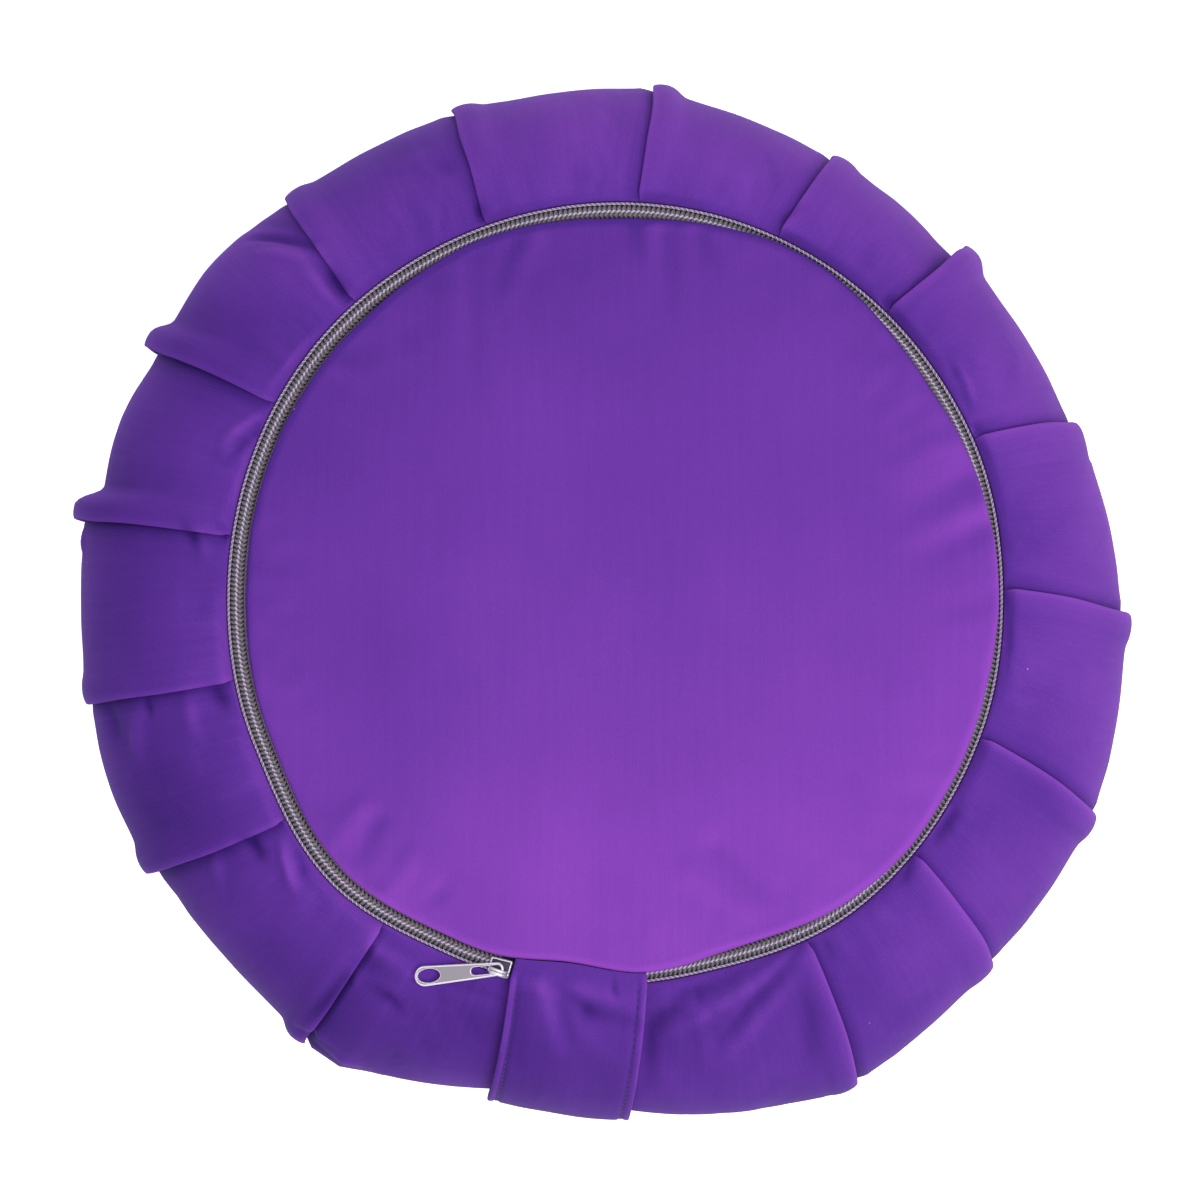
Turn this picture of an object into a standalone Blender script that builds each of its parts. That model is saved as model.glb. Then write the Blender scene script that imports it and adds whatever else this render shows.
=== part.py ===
"""A round floor cushion of pleated velvet, lying on its seat face with its zip face up.

The origin is on the surface that it rests on, under the middle of its bulge. +Z is up, and the
strap is at -Y. Lengths are in metres and angles in degrees, anticlockwise from +X seen from above.
The cushion is one filled body with its band's pleats, and each face, zip part and strap is its own.
"""

import math
from collections import namedtuple

import bmesh
import bpy
from mathutils import Matrix, Vector

# Driving sizes of the filled body
ZIP_SEAM_HEIGHT = 0.1152
SEAT_SEAM_HEIGHT = 0.0086
ZIP_RADIUS = 0.1193
ZIP_CENTRE = Vector((0.0030, 0.0012, 0.0))
GAP = 0.0003
SEAM_GAP = 0.0006
SEAM_RADIUS = ZIP_RADIUS + SEAM_GAP
MIDDLE_HEIGHT = (ZIP_SEAM_HEIGHT + SEAT_SEAM_HEIGHT) / 2
HALF_HEIGHT = (ZIP_SEAM_HEIGHT - SEAT_SEAM_HEIGHT) / 2

# The pleats: two cloth layers lie over the next flap, with a rounded lip and a slot under it
LAYER = 0.0018
LIP = 0.0016
SLOT_GAP = 0.0009
TUCK = 0.0070
SEWN_FLAT_DEG = 9.0
FLAP_POINTS = 2

# The two faces
FACE_THICKNESS = 0.0022
FACE_EDGE_HEIGHT = 0.1168
FACE_CROWN = 0.0079
CROWN_POWER = 2.4
SEAT_THICKNESS = 0.0020
SEAT_RADIUS = SEAM_RADIUS - 0.0004
SEAT_FLAT_RADIUS = 0.0940
SEAT_RISE = 0.0072
SEAT_CURVE = 1.6
SEAT_ROWS = [0.5, 0.82, 1.0]
CROWN_ROWS = [0.0, 0.65, 0.9]
EDGE_ROW = 0.995
FACE_SIDES = 64

# The zip: a coil on its tape, in a groove between the zip face and the band
GROOVE_FLOOR = 0.1130
GROOVE_WIDTH = 0.0073
GROOVE_OUT = 0.0005
TAPE_WIDTH = 0.0070
TAPE_THICKNESS = 0.0009
COIL_WIDTH = 0.0054
COIL_HEIGHT = 0.0019
COIL_SIDES = 8
COIL_FROM_DEG = -88.0
COIL_TO_DEG = 254.0
TAPE_FROM_DEG = -91.0
TAPE_TO_DEG = 260.0
ZIP_STEPS = 96
COIL_BOTTOM = GROOVE_FLOOR + GAP + TAPE_THICKNESS + GAP
COIL_TOP = COIL_BOTTOM + COIL_HEIGHT

# The slider, with a bridge over the end of its pull
SLIDER_DEG = -107.2
SLIDER_LENGTH = 0.0068
SLIDER_WIDTH = 0.0060
SLIDER_PLATE = 0.0013
SLIDER_FLANGE = 0.0008
FLANGE_LENGTH = 0.0054
SLIDER_INSET = 0.0020
BRIDGE_LENGTH = 0.0062
BRIDGE_WIDTH = 0.0014
BRIDGE_HEIGHT = 0.0034
BRIDGE_BAR = 0.0010
BRIDGE_OUT = 0.0016
PULL_LENGTH = 0.0275
PULL_WIDE_RADIUS = 0.0031
PULL_NARROW_RADIUS = 0.0021
PULL_THICKNESS = 0.0012
PULL_HOLE = (0.0069, 0.0042)
PULL_HOLE_INWARD = 0.0013
PULL_SLOT = (0.0092, 0.0024)
PULL_SLIP = 0.0022
PULL_LIFT = 0.0008
PULL_HEADING_DEG = 186.0
PULL_DIP_DEG = 7.0
ROUND_SIDES = 20

# The strap, from the zip face's edge over the band to the seat seam
STRAP_WIDTH = 0.0446
STRAP_THICKNESS = 0.0024
STRAP_DEG = -95.2
STRAP_LEVEL_LEFT = 0.1578
STRAP_LEVEL_RIGHT = 0.1600
STRAP_PINCH = 0.05
STRAP_CLEAR_SEAM = 0.0017
STRAP_CLEAR_BAND = 0.0029
STRAP_TONGUE = 0.0064
STRAP_FACE_GAP = 0.0006
STRAP_END_DEG = 174.0
STRAP_STEPS = 18
STRAP_COLUMNS = [-0.96, -0.6, -0.2, 0.2, 0.6, 0.96]

# Colours of the pieces
VELVET = (0.135, 0.032, 0.330)
FACE_VELVET = (0.190, 0.048, 0.395)
TAPE_GREY = (0.120, 0.080, 0.150)
COIL_GREY = (0.165, 0.150, 0.175)
NICKEL = (0.62, 0.61, 0.62)

WELD = 0.000001

# Where the zip's line runs outside or inside a true circle
Around = namedtuple("Around", "deg value")
SEAM_PULLS = [
    Around(deg=0, value=-0.0011),
    Around(deg=25, value=0.0001),
    Around(deg=75, value=0.0012),
    Around(deg=130, value=0.0000),
    Around(deg=178, value=-0.0017),
    Around(deg=202, value=-0.0010),
    Around(deg=226, value=0.0029),
    Around(deg=245, value=0.0002),
    Around(deg=283, value=-0.0024),
    Around(deg=308, value=0.0006),
    Around(deg=340, value=-0.0003),
]

# How much of the zip the zip face leaves in sight
ZIP_SHOWS = [
    Around(deg=0, value=0.0014),
    Around(deg=35, value=0.0042),
    Around(deg=60, value=0.0014),
    Around(deg=89, value=0.0050),
    Around(deg=110, value=0.0035),
    Around(deg=135, value=0.0055),
    Around(deg=190, value=0.0058),
    Around(deg=250, value=0.0053),
    Around(deg=262, value=0.0068),
    Around(deg=276, value=0.0030),
    Around(deg=292, value=0.0052),
    Around(deg=323, value=0.0022),
    Around(deg=345, value=0.0026),
]

# One row for each pleat, anticlockwise. Its folded edge runs from seam_deg at the zip to side_deg at
# the widest height. There the flap lies at radius before, its fold stands out to peak, the next flap
# keeps to radius after for a length of hold, and bow is how far the flap that ends here swells past
# a straight line between its folds.
Pleat = namedtuple("Pleat", "seam_deg side_deg before peak after hold bow")
PLEATS = [
    Pleat(seam_deg=24.2, side_deg=20.6, before=0.1587, peak=0.1593, after=0.1562, hold=0.004, bow=0.0004),
    Pleat(seam_deg=46.6, side_deg=44.5, before=0.1565, peak=0.1599, after=0.1536, hold=0.004, bow=0.0008),
    Pleat(seam_deg=65.9, side_deg=62.9, before=0.1563, peak=0.1580, after=0.1563, hold=0.004, bow=0.0004),
    Pleat(seam_deg=86.7, side_deg=84.4, before=0.1600, peak=0.1633, after=0.1615, hold=0.004, bow=0.0008),
    Pleat(seam_deg=109.2, side_deg=107.2, before=0.1605, peak=0.1623, after=0.1604, hold=0.004, bow=0.0004),
    Pleat(seam_deg=131.5, side_deg=128.6, before=0.1602, peak=0.1619, after=0.1599, hold=0.004, bow=0.0008),
    Pleat(seam_deg=150.5, side_deg=151.0, before=0.1610, peak=0.1655, after=0.1599, hold=0.004, bow=0.0028),
    Pleat(seam_deg=171.0, side_deg=171.2, before=0.1608, peak=0.1688, after=0.1647, hold=0.004, bow=0.0024),
    Pleat(seam_deg=192.5, side_deg=191.2, before=0.1643, peak=0.1656, after=0.1637, hold=0.004, bow=0.0003),
    Pleat(seam_deg=214.2, side_deg=210.9, before=0.1653, peak=0.1672, after=0.1630, hold=0.004, bow=0.0014),
    Pleat(seam_deg=235.0, side_deg=235.7, before=0.1646, peak=0.1681, after=0.1678, hold=0.013, bow=0.0010),
    Pleat(seam_deg=264.5, side_deg=264.5, before=0.1550, peak=0.1562, after=0.1560, hold=0.004, bow=0.0008),
    Pleat(seam_deg=299.7, side_deg=297.7, before=0.1699, peak=0.1716, after=0.1699, hold=0.004, bow=0.0047),
    Pleat(seam_deg=319.9, side_deg=317.1, before=0.1669, peak=0.1677, after=0.1657, hold=0.004, bow=0.0004),
    Pleat(seam_deg=339.5, side_deg=336.6, before=0.1669, peak=0.1688, after=0.1667, hold=0.004, bow=0.0010),
    Pleat(seam_deg=361.6, side_deg=358.5, before=0.1640, peak=0.1655, after=0.1619, hold=0.004, bow=0.0009),
]

# Rows of the band from the zip seam, 0, over the bulge, 90, to the seat seam, 180
BAND_ROWS_DEG = [0, 4, 9, 17, 27, 38, 49, 61, 73, 85, 97, 109, 121, 133, 145, 157, 169, 175, 180]

Fold = namedtuple("Fold", "back sewn_back level layers")
FoldPoint = namedtuple("FoldPoint", "deg level lift")


def ease(share):
    """0 to 1 with a soft start and end."""
    share = min(max(share, 0.0), 1.0)
    return share * share * (3.0 - 2.0 * share)


def around(table, deg):
    """The value at an angle, eased from row to row round a closed table."""
    for row, following in zip(table, table[1:] + table[:1]):
        span = (following.deg - row.deg) % 360.0
        ahead = (deg - row.deg) % 360.0
        if ahead <= span:
            return row.value + (following.value - row.value) * ease(ahead / span)
    return table[0].value


def zip_edge(deg):
    """Radius of the zip's outer edge about the zip's centre."""
    return ZIP_RADIUS + around(SEAM_PULLS, deg)


def face_edge(deg):
    """Radius of the zip face's folded edge about the zip's centre."""
    return zip_edge(deg) - around(ZIP_SHOWS, deg)


def polar(centre, deg, radius, height):
    """A point at an angle and a radius about a centre."""
    turn = math.radians(deg)
    return Vector((centre.x + radius * math.cos(turn), centre.y + radius * math.sin(turn), height))


def crown_height(share):
    """Height of the zip face's underside at a share of its radius."""
    return FACE_EDGE_HEIGHT + FACE_CROWN * (1.0 - share**CROWN_POWER)


def sewn_share(row_deg):
    """0 at a seam, where the pleats are sewn flat, and 1 where they stand free."""
    return ease(min(row_deg, 180.0 - row_deg) / SEWN_FLAT_DEG)


def band_point(row_deg, deg, level, lift):
    """A point of the band: level is its radius at the bulge, and lift counts cloth layers near a seam."""
    out = math.sin(math.radians(row_deg))
    up = math.cos(math.radians(row_deg))
    zip_share = max(up, 0.0) ** 2
    bulge = level - SEAM_RADIUS
    radius = SEAM_RADIUS + zip_share * around(SEAM_PULLS, deg) + bulge * out
    height = MIDDLE_HEIGHT + HALF_HEIGHT * up
    normal = Vector((HALF_HEIGHT * out, bulge * up)).normalized()
    raised = lift * up * up
    return polar(ZIP_CENTRE * zip_share, deg, radius + normal.x * raised, height + normal.y * raised)


def fold_points(pleat, row_deg):
    """The points that turn one flap's end over its lip, into the slot and out along the next flap."""
    out = math.sin(math.radians(row_deg))
    edge = pleat.side_deg + (pleat.seam_deg - pleat.side_deg) * (1.0 - out)
    radius = SEAM_RADIUS + (pleat.peak - SEAM_RADIUS) * out
    free = sewn_share(row_deg)
    under_lip = pleat.peak - LIP
    mouth = min(pleat.after, under_lip - SLOT_GAP)
    slot = min(pleat.before, mouth) - LIP
    half_up = (pleat.before + pleat.peak) / 2
    folds = [
        Fold(back=0.0120, sewn_back=0.0046, level=pleat.before, layers=0.85),
        Fold(back=0.0085, sewn_back=0.0036, level=half_up, layers=1.0),
        Fold(back=0.0052, sewn_back=0.0026, level=pleat.peak, layers=1.2),
        Fold(back=0.0006, sewn_back=0.0018, level=pleat.peak - LIP / 4, layers=0.95),
        Fold(back=0.0012, sewn_back=0.0012, level=under_lip, layers=0.45),
        Fold(back=TUCK, sewn_back=0.0006, level=slot, layers=-0.3),
        Fold(back=TUCK, sewn_back=0.0000, level=slot - SLOT_GAP, layers=-0.8),
        Fold(back=0.0002, sewn_back=-0.0006, level=mouth, layers=0.0),
        Fold(back=-pleat.hold, sewn_back=-0.0030, level=pleat.after, layers=0.05),
    ]
    points = []
    for fold in folds:
        back = fold.sewn_back + (fold.back - fold.sewn_back) * free
        deg = edge - math.degrees(back / radius)
        points.append(FoldPoint(deg=deg, level=fold.level, lift=fold.layers * LAYER * free))
    return points


def straight_level(first, last, deg):
    """Radius at an angle of the straight line between two points given by angle and radius."""
    whole = math.radians(last.deg - first.deg)
    done = math.radians(deg - first.deg)
    left = whole - done
    product = first.level * last.level * math.sin(whole)
    return product / (first.level * math.sin(done) + last.level * math.sin(left))


def flap_points(start, end, bow):
    """Points along one flap between its two folds."""
    points = []
    for step in range(1, FLAP_POINTS + 1):
        share = step / (FLAP_POINTS + 1)
        deg = start.deg + (end.deg - start.deg) * share
        level = straight_level(start, end, deg) + bow * math.sin(math.pi * share)
        lift = start.lift + (end.lift - start.lift) * share
        points.append(FoldPoint(deg=deg, level=level, lift=lift))
    return points


def band_row(row_deg):
    """One closed row of the band as fold points, anticlockwise, the next turn's angles running on."""
    turned = [fold_points(pleat, row_deg) for pleat in PLEATS]
    row = []
    for index, folds in enumerate(turned):
        following = turned[(index + 1) % len(turned)]
        ahead = 0.0 if index + 1 < len(turned) else 360.0
        end = following[0]._replace(deg=following[0].deg + ahead)
        if end.deg < folds[-1].deg:
            end = end._replace(deg=end.deg + 360.0)
        bow = PLEATS[(index + 1) % len(PLEATS)].bow
        row += folds + flap_points(folds[-1], end, bow)
    return row


def closed_solid(name, around_count, rows):
    """A closed body from rows of points, each row around_count points round or one point at a pole."""
    grid = bmesh.new()
    bmesh.ops.create_grid(grid, x_segments=around_count, y_segments=len(rows) - 1, size=1.0)
    for vert in grid.verts:
        column = round((vert.co.x + 1.0) / 2.0 * around_count) % around_count
        row = rows[round((vert.co.y + 1.0) / 2.0 * (len(rows) - 1))]
        vert.co = row[column % len(row)]
    bmesh.ops.remove_doubles(grid, verts=grid.verts, dist=WELD)
    bmesh.ops.recalc_face_normals(grid, faces=grid.faces)
    return object_from(grid, name)


def object_from(shape, name):
    """A named object that holds a finished bmesh, smooth but for its sharp edges."""
    mesh = bpy.data.meshes.new(name)
    shape.to_mesh(mesh)
    shape.free()
    mesh.shade_smooth()
    mesh.set_sharp_from_angle(angle=math.radians(45.0))
    made = bpy.data.objects.new(name, mesh)
    bpy.context.scene.collection.objects.link(made)
    return made


def finish(made, colour, roughness, metallic=0.0):
    """Gives a piece its own material."""
    material = bpy.data.materials.new(made.name)
    material.use_nodes = True
    shader = material.node_tree.nodes["Principled BSDF"]
    shader.inputs["Base Color"].default_value = (*colour, 1.0)
    shader.inputs["Roughness"].default_value = roughness
    shader.inputs["Metallic"].default_value = metallic
    made.data.materials.append(material)
    return made


def side_band():
    """The filled body: the crown under the zip face, the zip's groove, the pleated band and the base."""
    seam = [point.deg for point in band_row(0)]
    rows = [[polar(ZIP_CENTRE, 0.0, 0.0, crown_height(0.0) - GAP)]]
    for share in CROWN_ROWS[1:]:
        height = crown_height(share) - GAP
        rows.append([polar(ZIP_CENTRE, deg, face_edge(deg) * share, height) for deg in seam])
    rows.append([groove_rim(deg) for deg in seam])
    for out in (-GROOVE_WIDTH, GROOVE_OUT):
        rows.append([polar(ZIP_CENTRE, deg, zip_edge(deg) + out, GROOVE_FLOOR) for deg in seam])
    for row_deg in BAND_ROWS_DEG:
        rows.append([band_point(row_deg, *point) for point in band_row(row_deg)])
    base = [point.deg for point in band_row(180)]
    inside = seat_stations()
    inside[-1] = (SEAM_RADIUS - GAP / 3, inside[-1][1])
    for radius, height in inside[:0:-1]:
        lifted = height + SEAT_THICKNESS + 2 * GAP
        rows.append([polar(Vector(), deg, radius, lifted) for deg in base])
    rows.append([Vector((0.0, 0.0, SEAT_THICKNESS + 2 * GAP))])
    return closed_solid("side_band", len(seam), rows)


def groove_rim(deg):
    """A point on the groove's inner rim, just under the zip face."""
    radius = zip_edge(deg) - GROOVE_WIDTH - GAP
    return polar(ZIP_CENTRE, deg, radius, crown_height(radius / face_edge(deg)) - GAP)


def seat_stations():
    """Radius and height of the seat face's underside, from its middle to its edge."""
    stations = [(0.0, 0.0), (SEAT_FLAT_RADIUS, 0.0)]
    for share in SEAT_ROWS:
        radius = SEAT_FLAT_RADIUS + (SEAT_RADIUS - SEAT_FLAT_RADIUS) * share
        stations.append((radius, SEAT_RISE * share**SEAT_CURVE))
    return stations


def ring_degs(count):
    """Evenly spaced angles of a full turn."""
    return [360.0 * step / count for step in range(count)]


def zip_face_panel():
    """The crowned face inside the zip, with a rounded folded edge."""
    degs = ring_degs(FACE_SIDES)
    under = [(share, crown_height(share)) for share in CROWN_ROWS + [EDGE_ROW]]
    edge = [(1.0, crown_height(1.0) + FACE_THICKNESS / 2)]
    over = [(share, height + FACE_THICKNESS) for share, height in under[::-1]]
    rows = []
    for share, height in under + edge + over:
        rows.append([polar(ZIP_CENTRE, deg, face_edge(deg) * share, height) for deg in degs])
    return closed_solid("zip_face_panel", FACE_SIDES, rows)


def seat_face_panel():
    """The face that the cushion rests on, flat in its middle and turned up to its seam."""
    degs = ring_degs(FACE_SIDES)
    under = seat_stations()
    under[-1] = (SEAT_RADIUS - GAP, under[-1][1])
    edge = [(SEAT_RADIUS, SEAT_RISE + SEAT_THICKNESS / 2)]
    over = [(radius, height + SEAT_THICKNESS) for radius, height in under[::-1]]
    rows = []
    for radius, height in under + edge + over:
        rows.append([polar(Vector(), deg, radius, height) for deg in degs])
    return closed_solid("seat_face_panel", FACE_SIDES, rows)


def zip_run(name, section, from_deg, to_deg):
    """A length of the zip: a section of inset and height pairs, run round the zip's line."""
    rows = []
    for step in range(ZIP_STEPS + 1):
        deg = from_deg + (to_deg - from_deg) * step / ZIP_STEPS
        row = [polar(ZIP_CENTRE, deg, zip_edge(deg) - inset, height) for inset, height in section]
        rows.append(row)
    first, last = sum(rows[0], Vector()), sum(rows[-1], Vector())
    rows = [[first / len(section)]] + rows + [[last / len(section)]]
    return closed_solid(name, len(section), rows)


def zip_coil():
    """The closed coil, as one rounded bead."""
    section = []
    for step in range(COIL_SIDES):
        turn = 2.0 * math.pi * step / COIL_SIDES
        inset = COIL_WIDTH / 2 * (1.0 - math.cos(turn))
        height = COIL_HEIGHT / 2 * (1.0 + math.sin(turn))
        section.append((inset, COIL_BOTTOM + height))
    return zip_run("zip_coil", section, COIL_FROM_DEG, COIL_TO_DEG)


def zip_tape():
    """The tape under the coil."""
    low = GROOVE_FLOOR + GAP
    high = low + TAPE_THICKNESS
    section = [(0.0, low), (TAPE_WIDTH, low), (TAPE_WIDTH, high), (0.0, high)]
    return zip_run("zip_tape", section, TAPE_FROM_DEG, TAPE_TO_DEG)


def block(size, centre):
    """A box as a bmesh."""
    shape = bmesh.new()
    place = Matrix.Translation(centre) @ Matrix.Diagonal((*size, 1.0))
    bmesh.ops.create_cube(shape, size=1.0, matrix=place)
    return shape


def cut_or_join(body, other, operation):
    """Adds or takes away another object, which stays as a hidden guide."""
    other.hide_render = True
    other.display_type = "WIRE"
    other.parent = body
    boolean = body.modifiers.new(other.name, "BOOLEAN")
    boolean.operation = operation
    boolean.object = other
    return body


def zip_slider():
    """The slider: a plate over the coil, a flange outside it and a bridge along it."""
    plate_size = (SLIDER_LENGTH, SLIDER_WIDTH, SLIDER_PLATE)
    plate = object_from(block(plate_size, Vector((0.0, 0.0, SLIDER_PLATE / 2))), "zip_slider")
    drop = COIL_HEIGHT / 2
    flange_size = (FLANGE_LENGTH, SLIDER_FLANGE, drop + SLIDER_PLATE / 2)
    flange_y = -(SLIDER_WIDTH - SLIDER_FLANGE) / 2
    flange_z = (SLIDER_PLATE / 2 - drop) / 2
    flange = object_from(block(flange_size, Vector((0.0, flange_y, flange_z))), "flange_guide")
    cut_or_join(plate, flange, "UNION")
    tall = BRIDGE_HEIGHT + SLIDER_PLATE / 2
    arch_size = (BRIDGE_LENGTH, BRIDGE_WIDTH, tall)
    arch_z = SLIDER_PLATE + BRIDGE_HEIGHT - tall / 2
    arch = object_from(block(arch_size, Vector((0.0, -BRIDGE_OUT, arch_z))), "bridge_guide")
    cut_or_join(plate, arch, "UNION")
    room_size = (BRIDGE_LENGTH - 2 * BRIDGE_BAR, BRIDGE_WIDTH * 2, BRIDGE_HEIGHT - BRIDGE_BAR)
    room_z = SLIDER_PLATE + room_size[2] / 2
    room = object_from(block(room_size, Vector((0.0, -BRIDGE_OUT, room_z))), "bridge_room_guide")
    cut_or_join(plate, room, "DIFFERENCE")
    radius = zip_edge(SLIDER_DEG) - SLIDER_INSET
    plate.location = polar(ZIP_CENTRE, SLIDER_DEG, radius, COIL_TOP + GAP)
    plate.rotation_euler = (0.0, 0.0, math.radians(SLIDER_DEG + 90.0))
    return plate


def rounded_plate(first, last, low, high):
    """A plate with two round ends, each end given by its place along X and its radius."""
    shape = bmesh.new()
    for along, radius in (first, last):
        for height in (low, high):
            place = Matrix.Translation((along, 0.0, height))
            bmesh.ops.create_circle(shape, segments=ROUND_SIDES, radius=radius, matrix=place)
    bmesh.ops.convex_hull(shape, input=shape.verts)
    bmesh.ops.recalc_face_normals(shape, faces=shape.faces)
    return shape


def zip_pull():
    """The pull tab: a tapered plate with a finger hole, and a slot round one leg of the bridge."""
    wide = (PULL_LENGTH - PULL_NARROW_RADIUS - PULL_WIDE_RADIUS, PULL_WIDE_RADIUS)
    narrow = (0.0, PULL_NARROW_RADIUS)
    pull = object_from(rounded_plate(wide, narrow, 0.0, PULL_THICKNESS), "zip_pull")
    slot_radius = PULL_SLOT[1] / 2
    slot_end = (PULL_SLOT[0] - PULL_SLOT[1], slot_radius)
    through = (-PULL_THICKNESS, 2 * PULL_THICKNESS)
    slot = rounded_plate((0.0, slot_radius), slot_end, *through)
    cut_or_join(pull, object_from(slot, "slot_guide"), "DIFFERENCE")
    hole = rounded_plate((0.0, 1.0), (0.0, 1.0), *through)
    stretch = Matrix.Diagonal((PULL_HOLE[0] / 2, PULL_HOLE[1] / 2, 1.0, 1.0))
    hole_place = Matrix.Translation((wide[0] - PULL_HOLE_INWARD, 0.0, 0.0))
    bmesh.ops.transform(hole, matrix=hole_place @ stretch, verts=hole.verts)
    cut_or_join(pull, object_from(hole, "hole_guide"), "DIFFERENCE")
    leg = Vector((-(BRIDGE_LENGTH - BRIDGE_BAR) / 2, -BRIDGE_OUT, SLIDER_PLATE + PULL_LIFT))
    radius = zip_edge(SLIDER_DEG) - SLIDER_INSET
    slider_place = Matrix.Translation(polar(ZIP_CENTRE, SLIDER_DEG, radius, COIL_TOP + GAP))
    slider_turn = Matrix.Rotation(math.radians(SLIDER_DEG + 90.0), 4, "Z")
    turn = Matrix.Rotation(math.radians(PULL_HEADING_DEG), 4, "Z")
    pull.location = slider_place @ slider_turn @ leg - turn @ Vector((PULL_SLIP, 0.0, 0.0))
    pull.rotation_euler = (0.0, math.radians(PULL_DIP_DEG), math.radians(PULL_HEADING_DEG))
    return pull


def strap_point(row_deg, across, depth, inset=0.0):
    """A point of the strap: across from -1, its left edge, to 1, and depth through its thickness.

    With an inset it lies that far inside the zip's outer edge, over the coil.
    """
    level = STRAP_LEVEL_LEFT + (STRAP_LEVEL_RIGHT - STRAP_LEVEL_LEFT) * (across + 1.0) / 2.0
    out = math.sin(math.radians(row_deg))
    up = math.cos(math.radians(row_deg))
    radius = SEAM_RADIUS + (level - SEAM_RADIUS) * out
    half = STRAP_WIDTH / 2 * (1.0 - STRAP_PINCH * abs(up))
    deg = STRAP_DEG + math.degrees(across * half / radius)
    clear = STRAP_CLEAR_SEAM + (STRAP_CLEAR_BAND - STRAP_CLEAR_SEAM) * sewn_share(row_deg)
    if inset > 0.0:
        edge = max(zip_edge(deg) - inset, face_edge(deg) + STRAP_FACE_GAP)
        return polar(ZIP_CENTRE, deg, edge, ZIP_SEAM_HEIGHT + clear + depth)
    place = band_point(row_deg, deg, level, 0.0)
    normal = Vector((HALF_HEIGHT * out, (level - SEAM_RADIUS) * up)).normalized()
    off = clear * up * up + depth
    side = polar(Vector(), deg, normal.x, normal.y)
    return place + side * off


def handle_strap():
    """The strap: two layers of the velvet, following the band from one seam to the other."""
    middle = STRAP_THICKNESS / 2
    section = [(across, STRAP_THICKNESS) for across in STRAP_COLUMNS] + [(1.0, middle)]
    section += [(across, 0.0) for across in STRAP_COLUMNS[::-1]] + [(-1.0, middle)]
    rows = [[strap_point(0.0, across, middle, STRAP_TONGUE) for across, depth in section]]
    rows.append([strap_point(0.0, *place, inset=STRAP_TONGUE - middle) for place in section])
    for step in range(STRAP_STEPS + 1):
        row_deg = STRAP_END_DEG * step / STRAP_STEPS
        rows.append([strap_point(row_deg, *place) for place in section])
    rows.append([strap_point(STRAP_END_DEG + 1.0, across, middle) for across, depth in section])
    return closed_solid("handle_strap", len(section), rows)


def build():
    """Makes every piece of the cushion."""
    for old in list(bpy.data.objects):
        bpy.data.objects.remove(old, do_unlink=True)
    finish(side_band(), VELVET, 0.9)
    finish(zip_face_panel(), FACE_VELVET, 0.9)
    finish(seat_face_panel(), VELVET, 0.9)
    finish(zip_tape(), TAPE_GREY, 0.85)
    finish(zip_coil(), COIL_GREY, 0.5)
    finish(zip_slider(), NICKEL, 0.25, metallic=1.0)
    finish(zip_pull(), NICKEL, 0.3, metallic=1.0)
    finish(handle_strap(), VELVET, 0.9)


build()
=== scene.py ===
"""The looks of a round pleated velvet floor cushion, lying with its zip face up.

Each section is one piece, or a group of like pieces, in the order in which the cushion is put
together. Lengths are in metres and angles in degrees, anticlockwise from +X seen from above.
"""

import math
from collections import namedtuple

import bmesh
import bpy
from mathutils import Matrix, Vector, noise


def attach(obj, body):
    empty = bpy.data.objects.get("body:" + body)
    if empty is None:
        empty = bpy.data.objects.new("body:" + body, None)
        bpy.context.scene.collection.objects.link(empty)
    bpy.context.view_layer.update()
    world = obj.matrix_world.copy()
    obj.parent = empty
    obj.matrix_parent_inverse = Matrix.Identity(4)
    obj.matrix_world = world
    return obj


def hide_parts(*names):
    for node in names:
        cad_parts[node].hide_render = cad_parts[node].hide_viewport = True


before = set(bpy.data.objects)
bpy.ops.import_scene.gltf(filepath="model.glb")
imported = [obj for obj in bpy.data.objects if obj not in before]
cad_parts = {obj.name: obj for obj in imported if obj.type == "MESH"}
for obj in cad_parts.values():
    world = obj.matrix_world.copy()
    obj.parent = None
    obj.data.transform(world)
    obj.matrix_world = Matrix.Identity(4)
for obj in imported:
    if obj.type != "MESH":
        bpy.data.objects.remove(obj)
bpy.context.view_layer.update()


# The pleated band. One strip of short pile velvet, folded into flat pleats that all lie one way, sewn
# flat to the zip's tape above and to the seat face below, and pushed out by the filling behind it, which
# is worked out by cloth simulation. Each fold stands on the next flap as a soft roll, with a slot under it.

ZIP_SEAM_HEIGHT = 0.1152
SEAT_SEAM_HEIGHT = 0.0086
ZIP_RADIUS = 0.1193
ZIP_CENTRE = (0.0030, 0.0012)
SEAM_ALLOWANCE = 0.0006
SEAM_RADIUS = ZIP_RADIUS + SEAM_ALLOWANCE
MIDDLE_HEIGHT = (ZIP_SEAM_HEIGHT + SEAT_SEAM_HEIGHT) / 2
HALF_HEIGHT = (ZIP_SEAM_HEIGHT - SEAT_SEAM_HEIGHT) / 2
CLOTH_LAYER = 0.0018
CLOTH_RADIUS = 0.150
CLOTH_A_ROW_DEG = 0.00085
LIP = 0.0016
SLOT = 0.0009
SEWN_FLAT_DEG = 4.0
SEWN_FLAT_UNDER_STRAP_DEG = 9.0
PLEAT_UNDER_STRAP = 11
FLAP_STEPS_A_DEG = 1.55
FIRST_ROW_DEG = 1.5
LAST_SETTLED_DEG = 178.0
WIDEST_ROW_DEG = 96.0
SETTLE_ACROSS = 18
SETTLE_DOWN = 40
SETTLE_CAP = 0.0015
SETTLE_SHARE = 0.4
SETTLE_FRAMES = 20
FILLING_PRESSURE = 4.0
CLOTH_SLACK = 0.02
TOP_STEPS = 62
UNDER_STEPS = 26
ZIP_FLOOR = 0.1130
ZIP_BED_WIDTH = 0.0073
SEAM_EDGE = 0.0005
SKIN_GAP = 0.0003
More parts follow.
